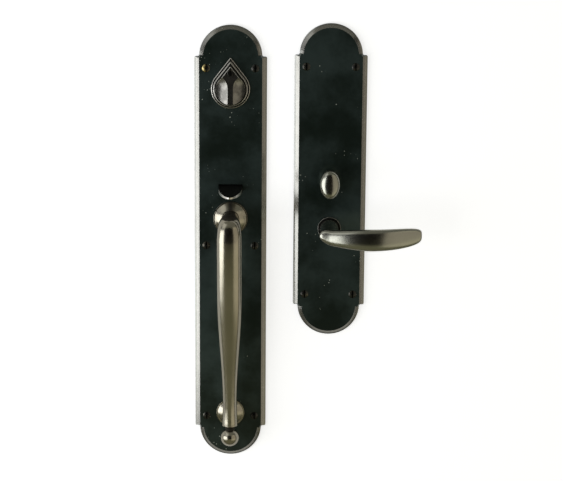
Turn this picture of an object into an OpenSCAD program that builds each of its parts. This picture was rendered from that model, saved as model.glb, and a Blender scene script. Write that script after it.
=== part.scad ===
// Entry door handleset in cast bronze. The outside trim is an arched plate with a
// grip, a thumb latch and a key cylinder under a swing cover. The inside trim is a
// shorter plate with a lever and an oval turn knob.
// Every piece is drawn on the face of the door, with x across, y up and z out of
// the door, and is then stood upright, so that +Z is up and the trims face -Y.
// The back of both plates is the plane y = 0.

/* [Plates] */
// Width of both plates
plate_w = 76.2; // [74:0.1:82]
// Height of the outside plate, from arch to arch
outside_h = 470; // [455:1:500]
// Height of the inside plate, from arch to arch
inside_h = 335; // [320:1:365]
// Radius of the arched ends
arch_r = 33.1; // [32:0.1:34]
// Thickness at the flat field
plate_t = 6; // [5.6:0.1:7]
// Height of the upright outer edge
edge_t = 2.6; // [2.2:0.1:3]
// Width of the narrow lip along the outer edge
lip_w = 1.8; // [1.4:0.1:2.2]
// Rise of that lip
lip_rise = 0.9; // [0.6:0.1:1.2]
// Width of the whole moulded border along the sides, lip and bevel
border_w = 5; // [4:0.1:6]
// Width of the same border round an arch
arch_border_w = 4.2; // [3.5:0.1:5]
// Width of the plain bevel on a shoulder
shoulder_w = 1.6; // [1.2:0.1:2.4]
// Radius of the corners on the shoulders
corner_r = 1.8; // [1.2:0.1:2.4]
// Radius of the cove between a shoulder and its arch
cove_r = 1.8; // [1.2:0.1:2.2]
// Depth that is cored out of the back
core_d = 2.4; // [1.5:0.1:3]
// Width of the rim that is left round the core
rim_w = 7; // [6:0.1:9]
// Distance between the two plates' centre lines, side by side
plate_pitch = 105; // [90:1:200]
// Height of the inside plate's centre above the outside plate's
inside_rise = 69.8; // [40:0.1:90]

/* [Face screws] */
// Distance across between the screws
screw_pitch = 51.5; // [48:0.5:53]
// Distance from the top of an arch to the screws below it
screw_end = 45; // [43:0.5:55]
// Radius of the screw head
screw_head_r = 4.1; // [3.8:0.1:4.5]
// Height of the cone under the head
screw_cone_h = 2.2; // [1.8:0.1:2.4]
// Rise of the oval top of the head
screw_oval_h = 0.9; // [0.5:0.1:1.2]
// Radius of the plain neck
screw_neck_r = 2.3; // [2.2:0.05:2.5]
// Radius over the wood thread
screw_thread_r = 2.05; // [1.8:0.05:2.1]
// Length from the plate's face to the point
screw_len = 32; // [25:1:45]
// Width of a screwdriver slot
slot_w = 1.1; // [0.8:0.1:1.4]
// Depth of a screwdriver slot
slot_d = 1; // [0.6:0.1:1.3]

/* [Key cylinder] */
// Height of the cylinder above the outside plate's centre
cyl_y = 168.3; // [160:0.5:170]
// Radius of the threaded body
cyl_thread_r = 14.68; // [14.2:0.01:14.8]
// Radius of the plain body inside the collar and plate
cyl_body_r = 14.3; // [14:0.05:14.6]
// Radius of the cylinder's head
cyl_head_r = 15.2; // [15:0.05:15.4]
// Thickness of the head
cyl_head_t = 2.4; // [2:0.1:3]
// Length of the whole cylinder
cyl_len = 28.6; // [25:0.1:38]
// Radius of the plug that the key turns
plug_r = 6.35; // [6:0.05:6.6]
// Radius of the plug's front flange
plug_flange_r = 7.2; // [6.9:0.05:7.6]
// Thickness of the plug's front flange
plug_flange_t = 1.2; // [0.8:0.1:1.6]
// Distance of the plug below the cylinder's centre
plug_drop = 5.2; // [4:0.1:5.6]
// Width of the keyway
key_w = 1.9; // [1.6:0.1:2.4]
// Height of the keyway
key_h = 8.2; // [7:0.1:8.6]
// Reach of the cam from the plug's centre
cam_reach = 14; // [12:0.5:16]
// Thickness of the cam
cam_t = 2.2; // [1.6:0.1:3]

/* [Teardrop collar and cover] */
// Radius of the swing cover's round end
cover_r = 15.5; // [15.3:0.1:16.2]
// Thickness of the swing cover
cover_t = 5.5; // [5:0.1:6.5]
// Half angle of the teardrop's point
drop_angle = 38; // [36:0.5:41]
// Radius of the point itself
drop_tip_r = 1; // [0.8:0.1:1.4]
// Width of each ledge of the collar
ledge_w = 2.55; // [2.4:0.05:3]
// Height of the collar's lower step
step_h = 1.8; // [1.4:0.1:2.6]
// Height of the whole collar on the plate
collar_h = 5; // [4.6:0.1:6]
// Chamfer along the teardrop edges
drop_chamfer = 0.7; // [0.4:0.1:1]
// Width of the ridge between the two scoops
ridge_w = 5.6; // [4.5:0.1:7]
// Half width of a scoop at the cover's face
scoop_half_w = 14; // [12:0.5:16]
// Depth of a scoop
scoop_d = 4; // [3:0.1:4.2]
// Height of the scoops' rounded tops above the cylinder's centre
scoop_top = 2; // [0:0.5:3]
// Distance of the cover's pivot above the cylinder's centre
pivot_up = 18.2; // [17.8:0.1:18.4]
// Radius of the pivot screw's shoulder
pivot_r = 2; // [1.8:0.05:2.1]
// Radius of the pivot screw's thread
pivot_thread_r = 1.5; // [1.3:0.05:1.55]
// Radius of the pivot screw's head
pivot_head_r = 3.3; // [3:0.1:3.6]

/* [Thumb latch] */
// Height of the latch's pivot above the outside plate's centre
thumb_y = 64.5; // [60:0.5:75]
// Distance of the pivot behind the plate's back
thumb_back = 5; // [4.9:0.1:6]
// Width of the tongue
tongue_w = 25; // [22:0.5:26]
// Distance from the pivot to the tongue's tip
tongue_reach = 45.5; // [40:0.5:48]
// Distance from the pivot to where the tongue starts to taper
tongue_root = 16; // [13:0.5:17]
// Thickness of the tongue
tongue_t = 5; // [4.4:0.1:5.4]
// Slope of the tongue at rest
tongue_slope = 10; // [8:0.5:12]
// Width of the lip round the tongue's dish
tongue_lip = 1.5; // [1.2:0.1:2]
// Thickness left at the tongue's tip
tongue_tip_t = 1.8; // [1.5:0.1:2.4]
// Depth of the dish
dish_d = 1.5; // [1:0.1:1.8]
// Length of the lift arm behind the pivot
lift_len = 36; // [25:1:45]
// Thickness of the lift arm across
lift_w = 7; // [5:0.5:9]
// Travel of the latch
thumb_travel = 14; // [10:1:15]
// Radius of the pivot pin
pin_r = 2; // [1.8:0.05:2.2]
// Radius of the hub round the pin
hub_r = 4.2; // [3.9:0.1:4.3]
// Gap round the tongue in the plate's slot
slot_gap = 0.35; // [0.3:0.05:0.6]
// Thickness of the folded bracket
bracket_t = 2; // [1.6:0.1:2.4]

/* [Grip] */
// Height of the upper post above the outside plate's centre
upper_post_y = 30; // [26:0.5:34]
// Height of the lower post, negative because it is below the centre
lower_post_y = -186; // [-190:0.5:-180]
// Stand-off of the grip's axis at its upper end
grip_out = 50; // [46:0.5:60]
// Stand-off of the grip's axis at its lower end
grip_low_out = 28; // [26:0.5:34]
// Radius of the bend below the upper post
grip_bend_r = 14; // [13:0.5:17]
// Squareness of the bend's outer corner, 2 for a round one
grip_corner = 6; // [2:0.5:8]
// Half width of the grip at its widest
grip_half_w = 13; // [12:0.1:14]
// Half width of the grip at its narrowest
grip_neck_half_w = 7.5; // [7:0.1:8.5]
// Half width of the grip at its lower end
grip_foot_half_w = 8.2; // [7.6:0.1:9]
// Depth of the section as a share of its width
grip_depth_ratio = 0.82; // [0.75:0.01:0.95]
// Radius of the upper post
upper_post_r = 9; // [8.5:0.1:10]
// Radius of the lower post
lower_post_r = 7; // [6.5:0.1:8]
// Radius of the upper rose
upper_rose_r = 18; // [16:0.5:20]
// Radius of the lower rose
lower_rose_r = 15; // [13.5:0.5:17]
// Radius of the ball finial
ball_r = 9.9; // [9:0.1:11]
// Distance of the ball's centre below the lower post
ball_drop = 21; // [20.5:0.5:22]
// Radius of the waist above the ball
waist_r = 5; // [4:0.1:6]
// Thread radius of the two bolts in the posts
bolt_r = 3; // [2.5:0.1:3.2]
// Length of the bolts from the back of the plate
bolt_len = 22; // [18:1:26]

/* [Lever] */
// Distance of the lever's spindle below the turn knob
lever_drop = 50.2; // [47:0.1:60]
// Reach of the lever from its spindle
lever_len = 96; // [85:1:110]
// Stand-off of the blade's middle at its two ends
lever_out = 43; // [40:0.5:50]
// How far the blade bows out between its ends
lever_bow = 11; // [8:0.5:13]
// Half height of the blade at its widest
lever_half_h = 11.6; // [10.5:0.1:12.2]
// Half height of the blade at the spindle
lever_root_half = 8.1; // [7.6:0.1:9]
// Reach of the blade's rounded end past the spindle
lever_nose = 11; // [9:0.5:12]
// Half thickness of the blade at the neck
lever_half_t = 6; // [5:0.1:7]
// Half thickness of the blade near its tip
lever_tip_half_t = 3.6; // [3:0.1:4.5]
// How far the blade's middle dips below its spindle near the neck
lever_sag = 2.3; // [1.5:0.1:3]
// How far the middle climbs from there to the tip
lever_rise = 3.5; // [2:0.1:5]
// Radius of the neck at the bushing
neck_r = 10.4; // [10.2:0.1:11]
// Radius of the neck where it enters the blade
neck_top_r = 6.4; // [5.5:0.1:6.8]
// Radius of the shank that turns in the bushing
shank_r = 9; // [8.6:0.1:9.4]
// Radius of the bushing's rim on the plate
bushing_rim_r = 12.3; // [12:0.1:13]
// Height of that rim
bushing_rim_h = 2; // [1.5:0.1:2.5]
// Radius of the bushing inside the plate
bushing_r = 11.2; // [11:0.1:11.4]
// Width of the square spindle
spindle_w = 7.9; // [7.6:0.1:8.2]
// Reach of the spindle behind the plate
spindle_back = 42; // [30:1:60]
// Travel of the lever
lever_travel = 50; // [40:1:55]
// Thickness of the drive washer
drive_t = 1.6; // [1.2:0.1:2]
// Radius of the drive washer
drive_r = 17.5; // [17:0.1:18.5]
// Distance of the stop post from the spindle
stop_out = 15; // [14.6:0.1:15.4]
// Radius of the stop post
stop_r = 2; // [1.8:0.1:2.1]

/* [Turn knob] */
// Width of the oval knob
turn_w = 21.2; // [19:0.1:23]
// Height of the oval knob
turn_l = 31.5; // [28:0.1:35]
// Stand-off of the knob's face from the plate's back
turn_out = 27; // [25:0.5:32]
// Thickness of the knob's oval head
turn_head_t = 13; // [11:0.5:14]
// Radius of the shank
turn_shank_r = 5; // [4.5:0.1:5.5]
// Radius of the bushing's flange
turn_flange_r = 8.2; // [8:0.1:9]
// Width of the flat tailpiece
tail_w = 7.2; // [6.6:0.1:7.6]
// Thickness of the flat tailpiece
tail_t = 2.4; // [2:0.1:3]
// Reach of the tailpiece behind the plate
tail_back = 38; // [30:1:55]

/* [Fits] */
// Radial clearance of what turns
run_fit = 0.05; // [0.03:0.01:0.08]
// Clearance of a screw in its thread
thread_fit = 0.05; // [0.03:0.01:0.1]
// Clearance between pieces that only lie beside each other
lie_fit = 0.15; // [0.1:0.05:0.25]
// Clearance of a screw or a bush through the plate
pass_fit = 0.3; // [0.2:0.05:0.4]
// Gap between a moving piece and what it passes over
sweep_gap = 0.3; // [0.2:0.05:0.5]

/* [Hidden] */

patina = [0.13, 0.16, 0.15];
bronze = [0.44, 0.41, 0.34];
brass = [0.62, 0.53, 0.32];
steel = [0.6, 0.61, 0.62];

// levels above the plate's back
lip_h = edge_t + lip_rise;
collar_top = plate_t + collar_h;
cyl_face = collar_top - lie_fit;
cyl_back = cyl_face - cyl_len;
washer_t = 0.3;
cover_back = collar_top + washer_t;
cover_face = cover_back + cover_t;

// places on the door's face
outside_rise = outside_h / 2 - arch_r;
inside_half_rise = inside_h / 2 - arch_r;
plug_y = cyl_y - plug_drop;
pivot_y = cyl_y + pivot_up;
lever_y = -lever_drop;
cove_x = sqrt(pow(arch_r + cove_r, 2) - pow(cove_r, 2));
cove_reach = border_w + 3;

// small hardware
pivot_head_t = 1.8;
cam_screw_x = 4.1;
cam_screw_r = 1.1;
cam_back = cyl_back - run_fit - cam_t;
ear_x = tongue_w / 2 + 1.5;
hub_end = ear_x - sweep_gap;
bracket_screw_x = ear_x + 7.6;
bracket_screw_r = 2;
bracket_screw_in = 4;
bracket_base_w = 2 * bracket_screw_x + 8;
bracket_base_h = 27;
spring_room = 5.4;
bolt_head_r = 5.6;
bolt_head_t = 3;

// lever and turn
drive_front = -8.3;
drive_flat = 7.5;
snap_t = 1;
lever_groove = drive_front - drive_t - 0.1;
turn_groove = -1.7;
square_hole = spindle_w + 2 * lie_fit;
stop_angle = -90;
set_screw_h = 14;
set_screw_r = 2.5;
tail_top = 10;
tail_pin_h = -4.1;
tail_pin_r = 0.9;
turn_shank_end = -5.6;
turn_bush_r = 7;

// Stands a piece that was drawn on the door's face upright.
module stand() {
    rotate([90, 0, 0]) children();
}

// Stands a piece of the inside trim upright, at that trim's own place.
module stand_inside() {
    rotate([90, 0, 0]) translate([plate_pitch, inside_rise, 0]) children();
}

// Repeats a feature of the upper right corner in all four corners.
module corners() {
    for (i = [0, 1], j = [0, 1]) mirror([i, 0, 0]) mirror([0, j, 0]) children();
}

// Outline across half a bar or an arch, from its axis to its moulded border.
module border_profile(r, w) {
    lip = lip_w * w / border_w;
    polygon([
        [0, 0], [r, 0], [r, edge_t], [r - lip, lip_h], [r - w, plate_t], [0, plate_t]
    ]);
}

// Endless bar with the border along both sides.
module bordered_bar(length) {
    rotate([90, 0, 0]) linear_extrude(length, center = true) {
        border_profile(plate_w / 2, border_w);
        mirror([1, 0]) border_profile(plate_w / 2, border_w);
    }
}

// Straight part of a plate, bordered along its sides and bevelled on its shoulders.
module shouldered_bar(length) {
    intersection() {
        bordered_bar(length + 2);
        rotate([90, 0, 90]) linear_extrude(plate_w + 2, center = true) polygon([
            [-length / 2, 0], [length / 2, 0], [length / 2, edge_t], [length / 2 - shoulder_w, plate_t],
            [shoulder_w - length / 2, plate_t], [-length / 2, edge_t]
        ]);
    }
}

// Cove in the corner between a shoulder and an arch, drawn from the arch's centre.
module cove() {
    out = [cove_x, cove_r];
    difference() {
        linear_extrude(plate_t) polygon([
            out,
            [cove_x, -cove_reach],
            [cove_x - cove_reach, -cove_reach],
            out * (1 - (cove_r + cove_reach) / (arch_r + cove_r))
        ]);
        translate([cove_x, cove_r, 0]) rotate_extrude($fn = 48) polygon([
            [0, -1], [cove_r, -1], [cove_r, edge_t], [cove_r + shoulder_w, plate_t],
            [cove_r + shoulder_w, plate_t + 1], [0, plate_t + 1]
        ]);
    }
}

// Rounds the outer corner of a shoulder.
module corner_cut() {
    difference() {
        translate([-corner_r, -corner_r, -1]) cube([corner_r + 1, corner_r + 1, plate_t + 2]);
        translate([-corner_r, -corner_r, -2]) cylinder(r = corner_r, h = plate_t + 4, $fn = 48);
    }
}

// Whole plate before its holes and its core.
module plate_blank(rise) {
    difference() {
        union() {
            shouldered_bar(2 * rise);
            for (s = [-1, 1]) translate([0, s * rise, 0]) rotate_extrude($fn = 128) border_profile(arch_r, arch_border_w);
            intersection() {
                corners() translate([0, rise, 0]) cove();
                bordered_bar(2 * rise + 20);
            }
        }
        corners() translate([plate_w / 2, rise, 0]) corner_cut();
    }
}

// Hollow in a plate's back. Its children are the bosses that stay.
module core(rise) {
    translate([0, 0, -1]) linear_extrude(core_d + 1) difference() {
        union() {
            square([plate_w - 2 * rim_w, 2 * (rise - rim_w)], center = true);
            for (s = [-1, 1]) translate([0, s * rise]) circle(arch_r - rim_w, $fn = 96);
        }
        children();
    }
}

// Places of the face screws of the outside and the inside plate.
function outside_screw_places() = [
    for (x = [-1, 1], y = [-1, 0, 1]) [x * screw_pitch / 2, y * (outside_h / 2 - screw_end)]
];
function inside_screw_places() = [
    for (x = [-1, 1], y = [-1, 1]) [x * screw_pitch / 2, y * (inside_h / 2 - screw_end)]
];

// Countersunk hole for a face screw.
module face_screw_hole() {
    translate([0, 0, -1]) cylinder(r = screw_neck_r + pass_fit, h = plate_t + 2, $fn = 32);
    translate([0, 0, plate_t - screw_cone_h - lie_fit])
        cylinder(r1 = screw_neck_r + pass_fit, r2 = screw_head_r + lie_fit, h = screw_cone_h, $fn = 48);
    translate([0, 0, plate_t - lie_fit - 0.001]) cylinder(r = screw_head_r + lie_fit, h = 1, $fn = 48);
}

// Oval-head wood screw with an upright slot. Its thread is finished as a plain shank.
module face_screw() {
    oval_r = (pow(screw_head_r, 2) + pow(screw_oval_h, 2)) / (2 * screw_oval_h);
    point_h = 5;
    difference() {
        union() {
            intersection() {
                translate([0, 0, plate_t + screw_oval_h - oval_r]) sphere(oval_r, $fn = 96);
                translate([0, 0, plate_t]) cylinder(r = screw_head_r, h = 2, $fn = 48);
            }
            translate([0, 0, plate_t - screw_cone_h])
                cylinder(r1 = screw_neck_r, r2 = screw_head_r, h = screw_cone_h, $fn = 48);
            translate([0, 0, -pass_fit])
                cylinder(r = screw_neck_r, h = plate_t - screw_cone_h + pass_fit, $fn = 32);
            translate([0, 0, plate_t - screw_len + point_h])
                cylinder(r = screw_thread_r, h = screw_len - plate_t - point_h - pass_fit, $fn = 32);
            translate([0, 0, plate_t - screw_len])
                cylinder(r1 = 0.3, r2 = screw_thread_r, h = point_h, $fn = 32);
        }
        driver_slot(screw_head_r, plate_t + screw_oval_h);
    }
}

// Upright screwdriver slot, cut down from a head's top.
module driver_slot(r, top) {
    translate([-slot_w / 2, -r - 1, top - slot_d]) cube([slot_w, 2 * r + 2, slot_d + 1]);
}

// Flat-topped teardrop with a chamfered edge, its round end on the origin.
module drop(r, h) {
    tip_up = (r - drop_tip_r) / sin(drop_angle);
    hull() for (end = [[0, r], [tip_up, drop_tip_r]]) translate([0, end[0], 0]) {
        cylinder(r = end[1], h = h - drop_chamfer, $fn = 64);
        cylinder(r = max(end[1] - drop_chamfer, 0.3), h = h, $fn = 64);
    }
}

// Outside plate
module outside_plate() {
    color(patina) stand() difference() {
        plate_blank(outside_rise);
        core(outside_rise) {
            for (p = outside_screw_places()) translate(p) circle(screw_head_r + 2.5, $fn = 32);
            translate([0, cyl_y]) circle(cyl_head_r + 4, $fn = 64);
            translate([0, thumb_y]) square([bracket_base_w, bracket_base_h], center = true);
            for (y = [upper_post_y, lower_post_y]) translate([0, y]) circle(upper_post_r + 1, $fn = 48);
        }
        for (p = outside_screw_places()) translate(p) face_screw_hole();
        translate([0, cyl_y, -1]) cylinder(r = cyl_thread_r + pass_fit, h = plate_t + 2, $fn = 96);
        translate([0, thumb_y, 0]) thumb_slot();
        for (y = [upper_post_y, lower_post_y]) translate([0, y, 0]) grip_bolt_hole();
        for (s = [-1, 1]) translate([s * bracket_screw_x, thumb_y, -1])
            cylinder(r = bracket_screw_r + thread_fit, h = bracket_screw_in + 1, $fn = 24);
    }
}

module outside_screws() {
    color(brass) stand() for (p = outside_screw_places()) translate(p) face_screw();
}

// Collar, swing cover and its pivot
module cylinder_collar() {
    color(patina) stand() translate([0, cyl_y, plate_t]) difference() {
        union() {
            drop(cover_r + 2 * ledge_w, step_h);
            drop(cover_r + ledge_w, collar_h);
        }
        translate([0, 0, -1]) cylinder(r = cyl_body_r + lie_fit, h = collar_h + 2, $fn = 96);
        translate([0, 0, collar_h - cyl_head_t - lie_fit])
            cylinder(r = cyl_head_r + lie_fit, h = cyl_head_t + 1, $fn = 96);
        translate([0, pivot_up, -1]) cylinder(r = pivot_thread_r + thread_fit, h = collar_h + 2, $fn = 24);
    }
}

module swing_cover() {
    scoop_r = (pow(scoop_half_w, 2) + pow(scoop_d, 2)) / (2 * scoop_d);
    color(bronze) stand() translate([0, cyl_y, cover_back]) difference() {
        drop(cover_r, cover_t);
        for (s = [-1, 1]) translate([s * (ridge_w / 2 + scoop_half_w), scoop_top, cover_t - scoop_d + scoop_r]) {
            rotate([90, 0, 0]) cylinder(r = scoop_r, h = 2 * cover_r, $fn = 160);
            sphere(scoop_r, $fn = 160);
        }
        translate([0, pivot_up, -1]) cylinder(r = pivot_r + run_fit, h = cover_t + 2, $fn = 32);
    }
}

module cover_pivot_screw() {
    color(bronze) stand() translate([0, pivot_y, 0]) difference() {
        union() {
            translate([0, 0, plate_t + lie_fit]) cylinder(r = pivot_thread_r, h = collar_h, $fn = 24);
            translate([0, 0, collar_top]) cylinder(r = pivot_r, h = cover_back - collar_top + cover_t, $fn = 32);
            translate([0, 0, cover_face + lie_fit]) rotate_extrude($fn = 48) polygon([
                [0, -1], [pivot_r - 0.01, -1], [pivot_r - 0.01, 0], [pivot_head_r, 0],
                [pivot_head_r, pivot_head_t - 0.6], [pivot_head_r - 0.6, pivot_head_t], [0, pivot_head_t]
            ]);
        }
        driver_slot(pivot_head_r, cover_face + lie_fit + pivot_head_t);
    }
}

// Thin washer between the collar and the cover.
module cover_spring_washer() {
    color(steel) stand() translate([0, pivot_y, collar_top]) difference() {
        cylinder(r = pivot_r + 2.4, h = washer_t - lie_fit / 2, $fn = 48);
        translate([0, 0, -1]) cylinder(r = pivot_r + lie_fit, h = 2, $fn = 32);
    }
}

// Key cylinder
module cylinder_shell() {
    color(brass) stand() difference() {
        union() {
            translate([0, cyl_y, cyl_face - cyl_head_t]) cylinder(r = cyl_head_r, h = cyl_head_t, $fn = 96);
            translate([0, cyl_y, -pass_fit]) cylinder(r = cyl_body_r, h = cyl_face - 1, $fn = 96);
            translate([0, cyl_y, cyl_back]) cylinder(r = cyl_thread_r, h = -cyl_back - pass_fit, $fn = 96);
        }
        translate([0, plug_y, cyl_back - 1]) cylinder(r = plug_r + run_fit, h = cyl_len + 2, $fn = 64);
        translate([0, plug_y, cyl_face - plug_flange_t - run_fit])
            cylinder(r = plug_flange_r + run_fit, h = plug_flange_t + 1, $fn = 64);
    }
}

module cylinder_plug() {
    color(brass) stand() translate([0, plug_y, 0]) difference() {
        union() {
            translate([0, 0, cyl_back - run_fit]) cylinder(r = plug_r, h = cyl_len, $fn = 64);
            translate([0, 0, cyl_face - plug_flange_t]) cylinder(r = plug_flange_r, h = plug_flange_t, $fn = 64);
        }
        translate([-key_w / 2, -key_h / 2, cyl_back + 3]) cube([key_w, key_h * 0.55, cyl_len]);
        translate([-key_w / 2 + key_w * 0.45, -key_h / 2, cyl_back + 3]) cube([key_w * 0.55, key_h, cyl_len]);
        for (s = [-1, 1]) translate([s * cam_screw_x, 0, cyl_back - 1])
            cylinder(r = cam_screw_r + thread_fit, h = 4 + 1, $fn = 24);
    }
}

module cylinder_cam() {
    lobe_r = 2.6;
    color(steel) stand() translate([0, plug_y, cam_back]) difference() {
        linear_extrude(cam_t) hull() {
            circle(plug_r + 0.4, $fn = 64);
            translate([0, cam_reach - lobe_r]) circle(lobe_r, $fn = 32);
        }
        for (s = [-1, 1]) translate([s * cam_screw_x, 0, -1])
            cylinder(r = cam_screw_r + lie_fit, h = cam_t + 2, $fn = 24);
    }
}

module cam_screws() {
    head_t = 1.1;
    color(steel) stand() for (s = [-1, 1]) translate([s * cam_screw_x, plug_y, 0]) difference() {
        union() {
            translate([0, 0, cam_back]) cylinder(r = cam_screw_r, h = cam_t + 3.5, $fn = 24);
            translate([0, 0, cam_back - head_t]) cylinder(r = cam_screw_r + 0.9, h = head_t, $fn = 32);
        }
        translate([-3, -0.3, cam_back - head_t - 1]) cube([6, 0.6, 1.5]);
    }
}

// Thumb latch
// Slot that the tongue passes and swings in, drawn from the pivot's height.
module thumb_slot() {
    top = tongue_t / 2 / cos(tongue_slope) - thumb_back * tan(tongue_slope) + slot_gap;
    steep = tongue_slope + thumb_travel;
    low = (thumb_back + plate_t) * tan(steep) + tongue_t / 2 / cos(steep) + slot_gap;
    translate([-tongue_w / 2 - slot_gap, -low, -1]) cube([tongue_w + 2 * slot_gap, low + top, plate_t + 2]);
}

// Outline of the tongue, inset by a margin: straight to its root, then drawn to a blunt
// point. The pivot is at the origin.
module tongue_outline(inset) {
    half = tongue_w / 2 - inset;
    reach = tongue_reach - tongue_root - inset;
    polygon(concat([[-half, inset], [half, inset]],
        [for (a = [0 : 5 : 180]) [half * bulge(cos(a), 1.75), tongue_root + reach * bulge(sin(a), 1.75)]]));
}

// Tongue lying flat along +Y, dished on top and thinned below towards its tip.
module tongue() {
    dish_ball_r = 60;
    thin_from = tongue_root + 2;
    thin = atan((tongue_t - tongue_tip_t) / (tongue_reach - thin_from));
    difference() {
        translate([0, 0, -tongue_t / 2]) linear_extrude(tongue_t) tongue_outline(0);
        intersection() {
            translate([0, 0, tongue_t / 2 - dish_d - 1]) linear_extrude(dish_d + 2) difference() {
                tongue_outline(tongue_lip);
                translate([-tongue_w, 0]) square([2 * tongue_w, tongue_root + 2]);
            }
            translate([0, tongue_reach - 12, tongue_t / 2 - dish_d + dish_ball_r]) sphere(dish_ball_r, $fn = 200);
        }
        translate([-tongue_w, thin_from, -tongue_t / 2]) rotate([thin, 0, 0])
            translate([0, 0, -4]) cube([2 * tongue_w, tongue_reach, 4]);
    }
}

// Tongue, hub and lift arm in one casting.
module thumb_piece() {
    color(patina) stand() translate([0, thumb_y, -thumb_back]) difference() {
        union() {
            rotate([90 + tongue_slope, 0, 0]) mirror([0, 0, 1]) tongue();
            translate([-hub_end, 0, 0]) rotate([0, 90, 0])
                cylinder(r = hub_r, h = 2 * hub_end - spring_room, $fn = 48);
            translate([-lift_w / 2, 0, 0]) rotate([90, 0, 90]) linear_extrude(lift_w) polygon([
                [3.4, 0], [2.8, 4 - lift_len], [4.6, -lift_len], [0, -lift_len], [-2.6, 5 - lift_len], [-3.4, 0]
            ]);
        }
        translate([-hub_end - 1, 0, 0]) rotate([0, 90, 0])
            cylinder(r = pin_r + run_fit, h = 2 * hub_end + 2, $fn = 48);
        translate([hub_end - spring_room, -hub_r - 1, -hub_r - 1])
            cube([spring_room + 1, 2 * hub_r + 2, hub_r + thumb_back + 0.8]);
    }
}

module thumb_pivot_pin() {
    head_t = 1.4;
    reach = ear_x + bracket_t + lie_fit;
    color(steel) stand() translate([0, thumb_y, -thumb_back]) rotate([0, 90, 0]) {
        translate([0, 0, -reach - 1]) cylinder(r = pin_r, h = 2 * reach + 1.5, $fn = 48);
        translate([0, 0, reach]) cylinder(r = pin_r + 0.8, h = head_t, $fn = 48);
    }
}

// Folded bracket that holds the pin behind the plate.
module thumb_bracket() {
    ear_r = thumb_back - 0.3;
    color(steel) stand() translate([0, thumb_y, 0]) difference() {
        union() {
            translate([0, 0, -bracket_t]) linear_extrude(bracket_t) difference() {
                square([bracket_base_w, bracket_base_h], center = true);
                translate([-ear_x, -10]) square([2 * ear_x, 19.5]);
            }
            for (s = [0, 1]) mirror([s, 0, 0]) translate([ear_x, 0, 0]) rotate([90, 0, 90])
                linear_extrude(bracket_t) {
                    translate([0, -thumb_back]) circle(ear_r, $fn = 48);
                    translate([-ear_r, -thumb_back]) square([2 * ear_r, thumb_back]);
                }
        }
        translate([-30, 0, -thumb_back]) rotate([0, 90, 0]) cylinder(r = pin_r + run_fit, h = 60, $fn = 48);
        for (s = [-1, 1]) translate([s * bracket_screw_x, 0, -bracket_t - 1])
            cylinder(r = bracket_screw_r + lie_fit, h = bracket_t + 2, $fn = 24);
    }
}

module bracket_screws() {
    head_r = 3.5;
    head_t = 2;
    color(steel) stand() for (s = [-1, 1]) translate([s * bracket_screw_x, thumb_y, 0]) difference() {
        union() {
            translate([0, 0, -bracket_t - 0.5]) cylinder(r = bracket_screw_r, h = bracket_t + 3.9, $fn = 24);
            translate([0, 0, -bracket_t - head_t]) cylinder(r = head_r, h = head_t, $fn = 32);
        }
        translate([-head_r - 1, -0.5, -bracket_t - head_t - 1]) cube([2 * head_r + 2, 1, 1.9]);
    }
}

// Coil of round wire round the Z axis, rising from the plane z = 0.
module coil(mean_r, wire_r, pitch, turns, start = 0) {
    sides = 10;
    steps = ceil(turns * 24);
    points = [
        for (i = [0 : steps], j = [0 : sides - 1])
        let (a = start + 360 * turns * i / steps, b = 360 * j / sides, r = mean_r + wire_r * cos(b))
        [r * cos(a), r * sin(a), pitch * turns * i / steps + wire_r * sin(b)]
    ];
    walls = [
        for (i = [0 : steps - 1], j = [0 : sides - 1])
        let (k = (j + 1) % sides)
        [i * sides + j, i * sides + k, (i + 1) * sides + k, (i + 1) * sides + j]
    ];
    polyhedron(points, concat(
        [[for (j = [sides - 1 : -1 : 0]) j]], walls, [[for (j = [0 : sides - 1]) steps * sides + j]]
    ));
}

// Torsion spring that holds the tongue up.
module thumb_spring() {
    wire = 0.5;
    mean = pin_r + 1.2;
    leg = 8.5;
    color(steel) stand() translate([0, thumb_y, -thumb_back]) {
        translate([hub_end - spring_room + 0.9, 0, 0]) rotate([0, 90, 0]) coil(mean, wire, 1.2, 3, 180);
        translate([hub_end - spring_room + 0.9, -0.3, mean]) rotate([-83, 0, 0])
            cylinder(r = wire - 0.03, h = leg, $fn = 12);
        translate([hub_end - spring_room + 4.5, 0.3, mean]) rotate([90, 0, 0])
            cylinder(r = wire - 0.03, h = leg, $fn = 12);
    }
}

// Grip
module grip_bolt_hole() {
    translate([0, 0, -1]) cylinder(r = bolt_r + pass_fit, h = plate_t + 2, $fn = 32);
    translate([0, 0, -0.001]) cylinder(r1 = bolt_head_r + lie_fit, r2 = bolt_r + pass_fit, h = bolt_head_t, $fn = 48);
}

module grip_bolts() {
    color(steel) stand() for (y = [upper_post_y, lower_post_y]) translate([0, y, 0]) difference() {
        union() {
            translate([0, 0, lie_fit]) cylinder(r1 = bolt_head_r, r2 = bolt_r, h = bolt_head_t - 0.2, $fn = 48);
            translate([0, 0, lie_fit]) cylinder(r = bolt_r, h = bolt_len, $fn = 32);
        }
        translate([-bolt_head_r - 1, -0.6, -1]) cube([2 * bolt_head_r + 2, 1.2, 2.4]);
    }
}

// Domed rose round a post.
module rose(r, h, bore) {
    step = 1.6;
    dome_r = (pow(r - 1.5, 2) + pow(h - step, 2)) / (2 * (h - step));
    difference() {
        union() {
            cylinder(r = r, h = step, $fn = 96);
            intersection() {
                translate([0, 0, h - dome_r]) sphere(dome_r, $fn = 160);
                cylinder(r = r - 1.2, h = h + 1, $fn = 96);
            }
        }
        translate([0, 0, -1]) cylinder(r = bore + lie_fit, h = h + 2, $fn = 64);
    }
}

module upper_rose() {
    color(bronze) stand() translate([0, upper_post_y, plate_t]) rose(upper_rose_r, 8, upper_post_r);
}

module lower_rose() {
    color(bronze) stand() translate([0, lower_post_y, plate_t]) rose(lower_rose_r, 6.5, lower_post_r);
}

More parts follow.
